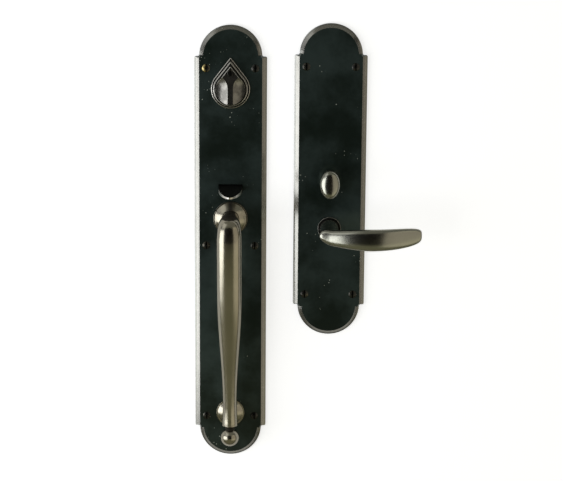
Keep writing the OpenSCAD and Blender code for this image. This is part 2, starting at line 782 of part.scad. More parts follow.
function ease(t) = (1 - cos(180 * min(max(t, 0), 1))) / 2;

// The grip's axis runs out along the upper post, round the bend and down to the foot.
grip_top = upper_post_y - grip_bend_r;
grip_foot = lower_post_y - 6;
post_run = grip_out - grip_bend_r - plate_t;
bend_run = grip_bend_r * PI / 2;
grip_depth = grip_half_w * grip_depth_ratio;
function grip_axis_h(y) = grip_out + (grip_low_out - grip_out) * ease((grip_top - y) / (grip_top - lower_post_y));
function grip_lean(y) = atan(grip_axis_h(y + 0.5) - grip_axis_h(y - 0.5));

// Share by which the round post has become the grip, at a distance along the axis.
function flare(run) = ease((run - 12) / 58);
function flare_half(run) = upper_post_r + (grip_half_w - upper_post_r) * flare(run);
function flare_square(run) = 2 + 0.8 * flare(run);
function flare_depth(run) = upper_post_r + (grip_depth - upper_post_r) * ease(run / post_run);
function grip_half(y) = flare_half(post_run + bend_run + grip_top - y)
    + (grip_neck_half_w - grip_half_w) * ease((-45 - y) / 127)
    + (grip_foot_half_w - grip_neck_half_w) * ease((-172 - y) / 20);
function grip_half_depth(y) = (grip_half(y) + grip_half_w - flare_half(post_run + bend_run + grip_top - y))
    * (grip_depth_ratio + (0.97 - grip_depth_ratio) * ease((-45 - y) / 110));

// Reach of the bend's outer side from the bend's centre, squared off towards its corner.
function bend_reach(a) = (grip_bend_r + grip_depth)
    / pow(pow(cos(a), grip_corner) + pow(sin(a), grip_corner), 1 / grip_corner);

// Rings of the grip as rows of height, stand-off, turn of the axis, half width,
// depth inwards, depth outwards and squareness.
function grip_rings() = concat(
    [for (i = [0 : 5]) let (run = i * post_run / 6, d = flare_depth(run))
        [upper_post_y, plate_t + run, 0, flare_half(run), d, d, flare_square(run)]],
    [for (i = [0 : 17]) let (u = i / 9 - 1, a = 45 + 45 * sign(u) * pow(abs(u), 1.6), run = post_run + bend_run * a / 90)
        [grip_top + grip_bend_r * cos(a), grip_out - grip_bend_r + grip_bend_r * sin(a), a, flare_half(run),
            grip_depth, bend_reach(a) - grip_bend_r, flare_square(run)]],
    [for (i = [0 : 40]) let (y = grip_top + (grip_foot - grip_top) * i / 40, d = grip_half_depth(y))
        [y, grip_axis_h(y), 90 + grip_lean(y), grip_half(y), d, d, 2.8 - 0.8 * ease(i / 40)]]
);

// Skin over a stack of rings of equal length.
module skin(rings) {
    n = len(rings[0]);
    last = len(rings) - 1;
    polyhedron([for (r = rings) each r], concat(
        [[for (j = [0 : n - 1]) j]],
        [for (i = [0 : last - 1], j = [0 : n - 1]) let (k = (j + 1) % n)
            [i * n + j, (i + 1) * n + j, (i + 1) * n + k, i * n + k]],
        [[for (j = [n - 1 : -1 : 0]) last * n + j]]
    ));
}

// Posts, bend, grip and finial in one casting.
module grip_handle() {
    sides = 36;
    color(bronze) stand() difference() {
        union() {
            skin([for (g = grip_rings()) [for (j = [0 : sides - 1])
                let (a = 360 * j / sides, across = (j < sides / 2 ? g[5] : g[4]) * bulge(sin(a), g[6]))
                [g[3] * bulge(cos(a), g[6]), g[0] + across * cos(g[2]), g[1] + across * sin(g[2])]]]);
            translate([0, lower_post_y, plate_t]) cylinder(r = lower_post_r, h = grip_low_out - plate_t, $fn = 64);
            translate([0, lower_post_y, grip_low_out]) rotate([90, 0, 0]) {
                rotate_extrude($fn = 64) polygon([
                    [0, 2], [waist_r, 2], [waist_r + 2, 5], [8.4, 6.2], [8.4, 7.2],
                    [waist_r + 1.2, 8.4], [waist_r, 9.8], [waist_r, 14], [0, 14]
                ]);
                translate([0, 0, ball_drop]) sphere(ball_r, $fn = 96);
            }
        }
        for (y = [upper_post_y, lower_post_y]) translate([0, y, plate_t - 1])
            cylinder(r = bolt_r + thread_fit, h = bolt_len - plate_t + 2, $fn = 32);
    }
}

// Inside plate, with the post that stops the lever cast on its back
module inside_plate() {
    color(patina) stand_inside() difference() {
        union() {
            difference() {
                plate_blank(inside_half_rise);
                core(inside_half_rise) {
                    for (p = inside_screw_places()) translate(p) circle(screw_head_r + 2.5, $fn = 32);
                    circle(turn_flange_r + 3, $fn = 64);
                    translate([0, lever_y]) circle(stop_out + stop_r + 2, $fn = 64);
                }
            }
            translate([stop_out * cos(stop_angle), lever_y + stop_out * sin(stop_angle), lever_groove - snap_t])
                cylinder(r = stop_r, h = 2 - lever_groove, $fn = 48);
        }
        for (p = inside_screw_places()) translate(p) face_screw_hole();
        translate([0, 0, -1]) cylinder(r = turn_bush_r + pass_fit, h = plate_t + 2, $fn = 64);
        translate([0, lever_y, -1]) cylinder(r = bushing_r + pass_fit, h = plate_t + 2, $fn = 64);
    }
}

module inside_screws() {
    color(brass) stand_inside() for (p = inside_screw_places()) translate(p) face_screw();
}

// Lever
module lever_bushing() {
    color(bronze) stand_inside() translate([0, lever_y, 0]) difference() {
        union() {
            translate([0, 0, plate_t]) cylinder(r = bushing_rim_r, h = bushing_rim_h, $fn = 96);
            translate([0, 0, -1]) cylinder(r = bushing_r, h = plate_t + 1.5, $fn = 96);
        }
        translate([0, 0, -2]) cylinder(r = shank_r + run_fit, h = plate_t + 6, $fn = 96);
    }
}

// Half height, half thickness and middle of the blade at a distance from the spindle.
function blade_half(x) = x < 0
    ? lever_root_half * sqrt(1 - pow(x / lever_nose, 2))
    : (lever_root_half + (lever_half_h - lever_root_half) * sin(90 * min(2 * x / lever_len, 1)))
        * pow(1 - pow(x / lever_len, 4.5), 0.25);
function blade_thick(x) = (lever_half_t + (lever_tip_half_t - lever_half_t) * ease(x / lever_len))
    * pow(blade_half(x) / lever_half_h, 0.35);
function blade_y(x) = lever_rise * pow(max(x, 0) / lever_len, 3) - lever_sag * ease((x + lever_nose) / 16);
function blade_h(x) = lever_out + lever_bow * sin(180 * max(x, 0) / lever_len);
function bulge(c, power) = sign(c) * pow(abs(c), 2 / power);

module lever() {
    rings = 44;
    sides = 36;
    ends = [0.15 - lever_nose, lever_len - 0.15];
    neck_bottom = plate_t + bushing_rim_h + sweep_gap;
    color(bronze) stand_inside() translate([0, lever_y, 0]) difference() {
        union() {
            skin([for (i = [0 : rings]) let (x = ends[0] + (ends[1] - ends[0]) * ease(i / rings))
                [for (j = [0 : sides - 1]) let (a = 360 * j / sides)
                    [x, blade_y(x) + blade_half(x) * bulge(cos(a), 2.4), blade_h(x) + blade_thick(x) * bulge(sin(a), 2.4)]]]);
            translate([0, 0, neck_bottom])
                cylinder(r1 = neck_r, r2 = neck_top_r, h = lever_out - 1 - neck_bottom, $fn = 96);
            translate([0, 0, drive_front]) cylinder(r = shank_r, h = neck_bottom - drive_front + 1, $fn = 96);
            intersection() {
                translate([0, 0, lever_groove - 2.4]) cylinder(r = shank_r, h = 5, $fn = 96);
                translate([-20, -drive_flat, lever_groove - 3]) cube([40, 2 * drive_flat, 8]);
            }
        }
        translate([-square_hole / 2, -square_hole / 2, lever_groove - 4]) cube([square_hole, square_hole, 35]);
        translate([0, 0, set_screw_h]) rotate([90, 0, 0]) cylinder(r = set_screw_r + thread_fit, h = neck_r + 1, $fn = 32);
        translate([0, 0, lever_groove - snap_t - 0.1]) difference() {
            cylinder(r = shank_r + 1, h = snap_t + 0.15, $fn = 96);
            translate([0, 0, -1]) cylinder(r = shank_r - 0.8, h = snap_t + 3, $fn = 96);
        }
    }
}

module lever_spindle() {
    color(steel) stand_inside() translate([-spindle_w / 2, lever_y - spindle_w / 2, -spindle_back])
        cube([spindle_w, spindle_w, spindle_back + 20]);
}

module lever_set_screw() {
    color(steel) stand_inside() translate([0, lever_y, set_screw_h]) rotate([90, 0, 0]) difference() {
        translate([0, 0, spindle_w / 2]) cylinder(r = set_screw_r, h = 5, $fn = 32);
        translate([-4, -0.4, spindle_w / 2 + 3.8]) cube([8, 0.8, 3]);
    }
}

// Washer that the lever turns. Its notch meets the stop post at both ends of the travel.
module lever_drive_washer() {
    side = asin((stop_r + lie_fit) / stop_out);
    from = stop_angle - side;
    to = stop_angle + lever_travel + side;
    color(steel) stand_inside() translate([0, lever_y, drive_front - drive_t]) linear_extrude(drive_t) difference() {
        circle(drive_r, $fn = 96);
        intersection() {
            circle(shank_r + lie_fit, $fn = 96);
            square([40, 2 * (drive_flat + lie_fit)], center = true);
        }
        difference() {
            polygon([
                [0, 0], 40 * [cos(from), sin(from)], 50 * [cos((from + to) / 2), sin((from + to) / 2)],
                40 * [cos(to), sin(to)]
            ]);
            circle(stop_out - stop_r - 0.4, $fn = 96);
        }
        translate([0, bushing_r + 0.3]) circle(1, $fn = 24);
    }
}

// Open snap ring, its gap downwards.
module snap_ring(inner, outer, t) {
    linear_extrude(t) difference() {
        circle(outer, $fn = 64);
        circle(inner, $fn = 64);
        translate([-1.8, -outer - 1]) square([3.6, outer]);
    }
}

module lever_snap_ring() {
    color(steel) stand_inside() translate([0, lever_y, lever_groove - snap_t])
        snap_ring(shank_r - 0.8 + run_fit, shank_r + 2.4, snap_t);
}

// Torsion spring that lifts the lever. One end sits in the drive washer and the
// other bears on the stop post.
module lever_spring() {
    wire = 0.8;
    mean = bushing_r + 0.3;
    pitch = 2.1;
    low = drive_front + wire + 0.3;
    turns = 2 + (stop_angle + 360 - 12 - 90) / 360;
    color(steel) stand_inside() translate([0, lever_y, 0]) {
        translate([0, 0, low]) coil(mean, wire, pitch, turns, 90);
        translate([0, mean, drive_front - drive_t + 0.1]) cylinder(r = wire - 0.05, h = low - drive_front + drive_t, $fn = 16);
        rotate([0, 0, stop_angle - 12]) translate([mean - 0.4, 0, low + pitch * turns]) rotate([0, 90, 0])
            cylinder(r = wire - 0.05, h = 5.4, $fn = 16);
    }
}

// Turn knob
module turn_knob() {
    head_h = turn_out - turn_head_t;
    neck_h = 7.5;
    sides = 48;
    color(bronze) stand_inside() difference() {
        union() {
            skin([for (a = [-84 : 12 : 84]) let (f = pow(cos(a), 0.6))
                [for (j = [0 : sides - 1]) let (b = 360 * j / sides)
                    [f * turn_w / 2 * cos(b), f * turn_l / 2 * sin(b), head_h + turn_head_t / 2 * (1 + sin(a) / sin(84))]]]);
            translate([0, 0, neck_h]) cylinder(r1 = turn_shank_r + 1.8, r2 = turn_shank_r + 1, h = head_h - neck_h + 3, $fn = 64);
            translate([0, 0, turn_shank_end]) cylinder(r = turn_shank_r, h = neck_h - turn_shank_end + 1, $fn = 64);
        }
        translate([-tail_t / 2 - lie_fit, -tail_w / 2 - lie_fit, turn_shank_end - 1])
            cube([tail_t + 2 * lie_fit, tail_w + 2 * lie_fit, tail_top - turn_shank_end + 1.5]);
        translate([-10, 0, tail_pin_h]) rotate([0, 90, 0]) cylinder(r = tail_pin_r + thread_fit, h = 20, $fn = 24);
        translate([0, 0, turn_groove - snap_t - 0.1]) difference() {
            cylinder(r = turn_shank_r + 1, h = snap_t + 0.2, $fn = 64);
            translate([0, 0, -1]) cylinder(r = turn_shank_r - 0.7, h = snap_t + 3, $fn = 64);
        }
    }
}

module turn_bushing() {
    color(bronze) stand_inside() difference() {
        union() {
            translate([0, 0, plate_t]) cylinder(r = turn_flange_r, h = 1.2, $fn = 64);
            translate([0, 0, -0.5]) cylinder(r = turn_bush_r, h = plate_t + 1, $fn = 64);
        }
        translate([0, 0, -2]) cylinder(r = turn_shank_r + run_fit, h = plate_t + 6, $fn = 64);
    }
}

module turn_washer() {
    color(steel) stand_inside() translate([0, 0, -1.2]) difference() {
        cylinder(r = turn_bush_r, h = 0.5, $fn = 64);
        translate([0, 0, -1]) cylinder(r = turn_shank_r + pass_fit, h = 2, $fn = 64);
    }
}

module turn_snap_ring() {
    color(steel) stand_inside() translate([0, 0, turn_groove - snap_t])
        snap_ring(turn_shank_r - 0.7 + run_fit, turn_shank_r + 2, snap_t);
}

module turn_tailpiece() {
    color(steel) stand_inside() difference() {
        translate([-tail_t / 2, -tail_w / 2, -tail_back]) cube([tail_t, tail_w, tail_back + tail_top]);
        translate([-10, 0, tail_pin_h]) rotate([0, 90, 0]) cylinder(r = tail_pin_r + thread_fit, h = 20, $fn = 24);
    }
}

module tailpiece_pin() {
    color(steel) stand_inside() translate([-turn_shank_r + 0.3, 0, tail_pin_h]) rotate([0, 90, 0])
        cylinder(r = tail_pin_r, h = 2 * turn_shank_r - 0.6, $fn = 24);
}

outside_plate();
outside_screws();
cylinder_collar();
swing_cover();
cover_pivot_screw();
cover_spring_washer();
cylinder_shell();
cylinder_plug();
cylinder_cam();
cam_screws();
thumb_piece();
thumb_pivot_pin();
thumb_bracket();
bracket_screws();
thumb_spring();
upper_rose();
lower_rose();
grip_handle();
grip_bolts();
inside_plate();
inside_screws();
lever_bushing();
lever();
lever_spindle();
lever_set_screw();
lever_drive_washer();
lever_snap_ring();
lever_spring();
turn_knob();
turn_bushing();
turn_washer();
turn_snap_ring();
turn_tailpiece();
tailpiece_pin();
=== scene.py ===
"""Looks of an entry door handleset in dark bronze.

Both trims lie beside each other on a white wall, as a set is shown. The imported
solids give every place and size. The pieces that are seen get a merged, smooth
copy with eased edges or a mesh of their own, and the hidden hardware keeps its
solid and gets its metal.
"""

import logging
import math
from dataclasses import dataclass, field
from enum import Enum
from typing import Callable, Iterable, Sequence

import bmesh
import bpy
from mathutils import Matrix, Vector


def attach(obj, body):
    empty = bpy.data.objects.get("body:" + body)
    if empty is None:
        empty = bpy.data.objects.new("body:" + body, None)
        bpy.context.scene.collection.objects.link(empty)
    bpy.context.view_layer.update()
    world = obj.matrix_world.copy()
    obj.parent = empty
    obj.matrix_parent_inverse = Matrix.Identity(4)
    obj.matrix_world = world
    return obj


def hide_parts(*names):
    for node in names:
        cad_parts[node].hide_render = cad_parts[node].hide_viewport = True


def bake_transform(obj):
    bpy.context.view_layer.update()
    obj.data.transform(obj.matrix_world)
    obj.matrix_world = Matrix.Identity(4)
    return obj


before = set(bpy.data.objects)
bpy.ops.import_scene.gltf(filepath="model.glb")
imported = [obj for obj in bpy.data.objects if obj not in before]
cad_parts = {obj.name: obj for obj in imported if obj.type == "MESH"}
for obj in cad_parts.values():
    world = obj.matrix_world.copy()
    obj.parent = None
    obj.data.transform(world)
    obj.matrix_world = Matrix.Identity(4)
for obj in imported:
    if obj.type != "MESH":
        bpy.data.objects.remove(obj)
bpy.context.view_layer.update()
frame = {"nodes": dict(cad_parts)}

log = logging.getLogger("handleset")

Tree = bpy.types.NodeTree
Socket = bpy.types.NodeSocket
SocketRow = tuple[str, str, object]
Colour = tuple[float, float, float, float]
Place = tuple[float, float, float]
Outline = list[tuple[float, float]]
# A rule for each face: its wear, or below 0 the shade painted on it.
WearAndShade = Callable[[Vector, Vector], float]
Winding = tuple[str, Vector, Vector]

IMAGE_SIZE = (563, 481)
FRONT = Vector((0.0, -1.0, 0.0))
# Attribute with each face's wear, or below 0 its painted shade.
WEAR_AND_SHADE = "rub"
MM = 0.001


# Shader groups


def new_group(
    name: str,
    inputs: Sequence[SocketRow],
    outputs: Sequence[tuple[str, str]],
    kind: str = "ShaderNodeTree",
) -> Tree:
    """Makes an empty node group with named sockets.

    Args:
        name: the group's name.
        inputs: name, socket type and default value of each input.
        outputs: name and socket type of each output.
        kind: the type of tree.

    Returns:
        The group, with its two end nodes named "in" and "out".
    """
    tree = bpy.data.node_groups.new(name, kind)
    for label, socket_type, value in inputs:
        socket = tree.interface.new_socket(label, in_out="INPUT", socket_type=socket_type)
        if value is not None:
            socket.default_value = value
    for label, socket_type in outputs:
        tree.interface.new_socket(label, in_out="OUTPUT", socket_type=socket_type)
    tree.nodes.new("NodeGroupInput").name = "in"
    tree.nodes.new("NodeGroupOutput").name = "out"
    return tree


def mask_group(name: str, inputs: dict[str, float | None], *masks: str) -> Tree:
    """Makes an empty shader group that reads a place and gives masks.

    Args:
        name: the group's name.
        inputs: default value of each further input, or None for a vector.
        masks: the names of its outputs.

    Returns:
        The group.
    """
    rows: list[SocketRow] = [("Vector", "NodeSocketVector", None)]
    for label, value in inputs.items():
        rows.append((label, "NodeSocketVector" if value is None else "NodeSocketFloat", value))
    return new_group(name, rows, [(mask, "NodeSocketFloat") for mask in masks])


def ends_of(tree: Tree) -> tuple[Sequence[Socket], Sequence[Socket]]:
    """Gives the sockets that a group reads and those that it fills."""
    return tree.nodes["in"].outputs, tree.nodes["out"].inputs


def add(tree: Tree, kind: str, values: dict[str, object] | None = None, **settings: object) -> bpy.types.Node:
    """Adds a node, sets its fields and the values of its inputs.

    Args:
        tree: the tree that gets the node.
        kind: the node's type.
        values: input name to value or to the output socket that feeds it.
        settings: fields of the node itself.

    Returns:
        The new node.
    """
    node = tree.nodes.new(kind)
    for key, value in settings.items():
        setattr(node, key, value)
    for key, value in (values or {}).items():
        socket = node.inputs[int(key)] if key.isdigit() else node.inputs[key]
        if isinstance(value, Socket):
            tree.links.new(value, socket)
        else:
            socket.default_value = value
    return node


def maths(tree: Tree, operation: str, a: object, b: object = 0.0, clamp: bool = False) -> Socket:
    """Adds a maths node and returns its value."""
    return add(tree, "ShaderNodeMath", {"0": a, "1": b}, operation=operation, use_clamp=clamp).outputs[0]


def ramp(tree: Tree, value: object, low: float, high: float) -> Socket:
    """Adds a smooth step of a value from 0 at low to 1 at high and returns it."""
    values = {"Value": value, "From Min": low, "From Max": high}
    return add(tree, "ShaderNodeMapRange", values, interpolation_type="SMOOTHSTEP").outputs[0]


def mix_colour(tree: Tree, share: object, a: object, b: object) -> Socket:
    """Adds a colour mix from a to b and returns its colour."""
    return add(tree, "ShaderNodeMix", {"0": share, "6": a, "7": b}, data_type="RGBA").outputs[2]


def noise(tree: Tree, place: object, scale: object, detail: float, roughness: float = 0.5) -> Socket:
    """Adds a noise texture and returns its value."""
    values = {"Vector": place, "Scale": scale, "Detail": detail, "Roughness": roughness}
    return add(tree, "ShaderNodeTexNoise", values).outputs["Fac"]


def use(tree: Tree, group: Tree, values: dict[str, object]) -> Sequence[Socket]:
    """Adds a group to a shader tree and returns its outputs."""
    return add(tree, "ShaderNodeGroup", values, node_tree=group).outputs


def patina_group() -> Tree:
    """Mottling of an oxidised casting: broad clouds with fine grain on top.

    Returns:
        The group. "Cloud" is the broad mask, "Grain" the fine one and "Height" is for a bump.
    """
    cloud_step, grain_step = (0.36, 0.66), (0.35, 0.7)
    wave_scale, grain_height = 55.0, 0.012
    tree = mask_group("Cast patina", {"Cloud Scale": 30.0, "Grain Scale": 700.0}, "Cloud", "Grain", "Height")
    source, sink = ends_of(tree)
    cloud = noise(tree, source["Vector"], source["Cloud Scale"], 5.0, 0.6)
    grain = noise(tree, source["Vector"], source["Grain Scale"], 3.0, 0.7)
    waves = noise(tree, source["Vector"], wave_scale, 1.0)
    tree.links.new(ramp(tree, cloud, *cloud_step), sink["Cloud"])
    tree.links.new(ramp(tree, grain, *grain_step), sink["Grain"])
    tree.links.new(maths(tree, "ADD", waves, maths(tree, "MULTIPLY", grain, grain_height)), sink["Height"])
    return tree


def rub_group() -> Tree:
    """Wear of the raised edges, broken up by noise.

    Returns:
        The group. "Worn" is the share of bare metal.
    """
    hole_scale, hole_step = 160.0, (0.62, 0.42)
    tree = mask_group("Rubbed edges", {"Rub": 0.0, "Break Up": 0.35}, "Worn")
    source, sink = ends_of(tree)
    holes = ramp(tree, noise(tree, source["Vector"], hole_scale, 3.0), *hole_step)
    holes = maths(tree, "MULTIPLY", holes, source["Break Up"])
    tree.links.new(maths(tree, "SUBTRACT", source["Rub"], holes, clamp=True), sink["Worn"])
    return tree


def speck_group() -> Tree:
    """Small pale specks of bare metal and dust, in loose patches.

    Returns:
        The group. "Speck" is the mask.
    """
    patch_scale, amount_weight = 38.0, 0.2
    dot_step, patch_step = (0.17, 0.06), (0.66, 0.74)
    tree = mask_group("Fine specks", {"Scale": 260.0, "Amount": 0.5}, "Speck")
    source, sink = ends_of(tree)
    cells = add(tree, "ShaderNodeTexVoronoi", {"Vector": source["Vector"], "Scale": source["Scale"]})
    dots = ramp(tree, cells.outputs["Distance"], *dot_step)
    more = maths(tree, "MULTIPLY", source["Amount"], amount_weight)
    patches = maths(tree, "ADD", noise(tree, source["Vector"], patch_scale, 2.0), more)
    tree.links.new(maths(tree, "MULTIPLY", dots, ramp(tree, patches, *patch_step)), sink["Speck"])
    return tree


def patch_group() -> Tree:
    """Soft round patch about one place, where dirt or wear has gathered.

    Returns:
        The group. "Share" falls from 1 at the centre to 0 at the reach.
    """
    fall = (1.0, 0.2)
    tree = mask_group("Gathered patch", {"Centre": None, "Reach": 0.02}, "Share")
    source, sink = ends_of(tree)
    points = {"0": source["Vector"], "1": source["Centre"]}
    away = add(tree, "ShaderNodeVectorMath", points, operation="DISTANCE").outputs["Value"]
    share = maths(tree, "DIVIDE", away, source["Reach"])
    tree.links.new(ramp(tree, share, *fall), sink["Share"])
    return tree


def hairline_group() -> Tree:
    """Fine polishing lines along the height of a piece, with a few deeper ones.

    Returns:
        The group. "Lines" is a height between 0 and 1.
    """
    fineness = (900.0, 900.0, 45.0)
    tree = mask_group("Polishing lines", {"Scale": 1.0}, "Lines")
    source, sink = ends_of(tree)
    drawn = add(tree, "ShaderNodeVectorMath", {"0": source["Vector"], "1": fineness}, operation="MULTIPLY")
    scaled = {"0": drawn.outputs[0], "Scale": source["Scale"]}
    drawn = add(tree, "ShaderNodeVectorMath", scaled, operation="SCALE")
    tree.links.new(noise(tree, drawn.outputs[0], 1.0, 3.0), sink["Lines"])
    return tree


@dataclass
class ShaderGroups:
    """The groups that the metals share, each built once."""

    patina: Tree = field(default_factory=patina_group)
    rub: Tree = field(default_factory=rub_group)
    specks: Tree = field(default_factory=speck_group)
    patch: Tree = field(default_factory=patch_group)
    hairlines: Tree = field(default_factory=hairline_group)


# Finishes


def blank_material(name: str) -> bpy.types.Material:
    """Makes a material with an empty tree."""
    material = bpy.data.materials.new(name)
    material.use_nodes = True
    material.node_tree.nodes.clear()
    return material


def show(tree: Tree, shader: Socket, kind: str = "ShaderNodeOutputMaterial") -> None:
    """Links a shader to the output of its tree."""
    tree.links.new(shader, add(tree, kind).inputs["Surface"])


class Tone(Enum):
    """The finishes on the handleset."""

    OUTSIDE_PATINA = "outside plate patina"
    INSIDE_PATINA = "inside plate patina"
    TRIM_PATINA = "trim patina"
    COVER_BRONZE = "cover bronze"
    GRIP_BRONZE = "grip bronze"
    LEVER_BRONZE = "lever bronze"
    SCREW_BRASS = "screw brass"
    LOCK_BRASS = "lock brass"
    ZINC_STEEL = "zinc steel"


# Near-black colour of the painted shade.
PAINTED_SHADE: Colour = (0.006, 0.006, 0.005, 1)
DUST: Colour = (0.62, 0.66, 0.58, 1)
GRAIN_ROUGHENS = 0.03
DUST_AND_SHADE_ROUGHENS = 0.5
WAVE_RELIEF = MM
LINE_RELIEF = 0.1 * MM


@dataclass(frozen=True)
class Patch:
    """A place where specks have gathered: its centre, its reach and how dense they are."""

    centre: Place
    reach: float
    amount: float


@dataclass(frozen=True)
class MetalFinish:
    """One metal: its colour where it is dark, where it is clouded and where it is rubbed bare, with painted
    shade where the mark is below 0.
    """

    tone: Tone
    dark: Colour
    cloud: Colour
    bare: Colour
    dark_roughness: float
    bare_roughness: float
    metallic: float
    cloud_scale: float = 30.0
    wave_depth: float = 0.12
    line_depth: float = 0.0
    break_up: float = 0.35
    speck_amount: float = 0.0
    patches: tuple[Patch, ...] = ()

    def build(self, groups: ShaderGroups) -> bpy.types.Material:
        """Builds the material.

        Args:
            groups: the shader groups that the metals share.

        Returns:
            The material, named after its tone.
        """
        material = blank_material(self.tone.value)
        tree = material.node_tree
        place = add(tree, "ShaderNodeTexCoord").outputs["Object"]
        patina = use(tree, groups.patina, {"Vector": place, "Cloud Scale": self.cloud_scale})
        mark = add(tree, "ShaderNodeAttribute", attribute_name=WEAR_AND_SHADE).outputs["Fac"]
        worn = use(tree, groups.rub, {"Vector": place, "Rub": mark, "Break Up": self.break_up})["Worn"]
        # A mark below 0 paints shade: near-black colour and more roughness.
        painted_shade = maths(tree, "MULTIPLY", mark, -1.0, clamp=True)
        dust = self.dust_share(tree, groups, place)
        colour = mix_colour(tree, patina["Cloud"], self.dark, self.cloud)
        for share, other in ((worn, self.bare), (painted_shade, PAINTED_SHADE), (dust, DUST)):
            colour = mix_colour(tree, share, colour, other)
        shine = maths(tree, "MULTIPLY", worn, self.bare_roughness - self.dark_roughness)
        shine = maths(tree, "ADD", self.dark_roughness, shine)
        shine = maths(tree, "ADD", maths(tree, "MULTIPLY", patina["Grain"], GRAIN_ROUGHENS), shine)
        # Dust specks and painted shade both roughen the surface.
        dirt = maths(tree, "MULTIPLY", maths(tree, "MAXIMUM", painted_shade, dust), DUST_AND_SHADE_ROUGHENS)
        shine = maths(tree, "ADD", shine, dirt, clamp=True)
        metal = maths(tree, "MULTIPLY", worn, 1.0 - self.metallic)
        metal = maths(tree, "ADD", self.metallic, metal, clamp=True)
        metal = maths(tree, "MULTIPLY", metal, maths(tree, "SUBTRACT", 1.0, dust))
        normal = self.relief(tree, groups, place, patina["Height"])
        values = {"Base Color": colour, "Roughness": shine, "Metallic": metal, "Normal": normal}
        show(tree, add(tree, "ShaderNodeBsdfPrincipled", values).outputs["BSDF"])
        return material

    def relief(self, tree: Tree, groups: ShaderGroups, place: Socket, height: Socket) -> Socket:
        """Adds the waves of the casting and the polishing lines, if it has any.

        Args:
            tree: the material's tree.
            groups: the shader groups that the metals share.
            place: the coordinates that the patterns read.
            height: the height of the waves.

        Returns:
            The normal.
        """
        waves = {"Height": height, "Strength": self.wave_depth, "Distance": WAVE_RELIEF}
        normal = add(tree, "ShaderNodeBump", waves).outputs["Normal"]
        if self.line_depth > 0:
            height = use(tree, groups.hairlines, {"Vector": place})["Lines"]
            lines = {"Height": height, "Strength": self.line_depth, "Distance": LINE_RELIEF, "Normal": normal}
            normal = add(tree, "ShaderNodeBump", lines).outputs["Normal"]
        return normal

    def dust_share(self, tree: Tree, groups: ShaderGroups, place: Socket) -> object:
        """Adds the specks of dust, denser where they have gathered.

        Args:
            tree: the material's tree.
            groups: the shader groups that the metals share.
            place: the coordinates that the patterns read.

        Returns:
            The mask of the specks, or 0 where the finish has none.
        """
        if self.speck_amount <= 0:
            return 0.0
        amount: object = self.speck_amount
        for patch in self.patches:
            share = use(tree, groups.patch, {"Vector": place, "Centre": patch.centre, "Reach": patch.reach})
            amount = maths(tree, "ADD", amount, maths(tree, "MULTIPLY", share["Share"], patch.amount))
        return use(tree, groups.specks, {"Vector": place, "Amount": amount})["Speck"]


FIELD: Colour = (0.024, 0.037, 0.030, 1)
FIELD_CLOUD: Colour = (0.080, 0.114, 0.110, 1)
BORDER: Colour = (0.41, 0.40, 0.365, 1)

FINISHES: tuple[MetalFinish, ...] = (
    MetalFinish(
        Tone.OUTSIDE_PATINA, FIELD, FIELD_CLOUD, BORDER, 0.24, 0.24, 0.5,
        cloud_scale=13.0, wave_depth=0.04, break_up=0.05, speck_amount=0.35,
        patches=(
            Patch((-0.022, -0.006, 0.166), 0.022, 1.2),
            Patch((0.020, -0.006, 0.214), 0.012, 1.2),
            Patch((-0.012, -0.006, 0.232), 0.014, 0.9),
            Patch((0.000, -0.006, 0.140), 0.016, 0.8),
        ),
    ),
    MetalFinish(
        Tone.INSIDE_PATINA, FIELD, FIELD_CLOUD, BORDER, 0.22, 0.24, 0.5,
        cloud_scale=13.0, wave_depth=0.04, break_up=0.05, speck_amount=0.35,
    ),
    MetalFinish(
        Tone.TRIM_PATINA, (0.016, 0.018, 0.016, 1), (0.03, 0.034, 0.03, 1), (0.85, 0.82, 0.75, 1),
        0.22, 0.30, 0.6, cloud_scale=70.0, break_up=0.12, wave_depth=0.05,
    ),
    MetalFinish(
        Tone.COVER_BRONZE, (0.16, 0.155, 0.14, 1), (0.23, 0.22, 0.20, 1), (0.74, 0.72, 0.65, 1),
        0.24, 0.24, 0.9, cloud_scale=120.0, break_up=0.2, wave_depth=0.10, line_depth=0.10,
    ),
    MetalFinish(
        Tone.GRIP_BRONZE, (0.44, 0.41, 0.325, 1), (0.48, 0.445, 0.36, 1), (0.56, 0.53, 0.45, 1),
        0.20, 0.18, 1.0, wave_depth=0.06, line_depth=0.03,
    ),
    MetalFinish(
        Tone.LEVER_BRONZE, (0.41, 0.41, 0.345, 1), (0.45, 0.445, 0.38, 1), (0.53, 0.52, 0.45, 1),
        0.21, 0.19, 1.0, wave_depth=0.05, line_depth=0.02,
    ),
    MetalFinish(
        Tone.SCREW_BRASS, (0.05, 0.05, 0.045, 1), (0.08, 0.079, 0.07, 1), (0.62, 0.50, 0.22, 1),
        0.26, 0.26, 0.9, cloud_scale=160.0, break_up=0.3,
    ),
    MetalFinish(
        Tone.LOCK_BRASS, (0.50, 0.38, 0.17, 1), (0.60, 0.47, 0.24, 1), (0.75, 0.62, 0.36, 1),
        0.26, 0.2, 1.0,
    ),
    MetalFinish(
        Tone.ZINC_STEEL, (0.42, 0.42, 0.42, 1), (0.52, 0.52, 0.53, 1), (0.65, 0.65, 0.66, 1),
        0.34, 0.25, 1.0,
    ),
)


@dataclass
class Palette:
    """The finished materials, by tone."""

    groups: ShaderGroups = field(default_factory=ShaderGroups)
    materials: dict[Tone, bpy.types.Material] = field(default_factory=dict)

    def build(self) -> "Palette":
        """Builds every finish once.

        Returns:
            The palette itself.
        """
        for finish in FINISHES:
            self.materials[finish.tone] = finish.build(self.groups)
        return self

    def paint(self, obj: bpy.types.Object, tone: Tone) -> None:
        """Gives an object one of the finishes."""
        clothe(obj.data, self.materials[tone])


# Meshes


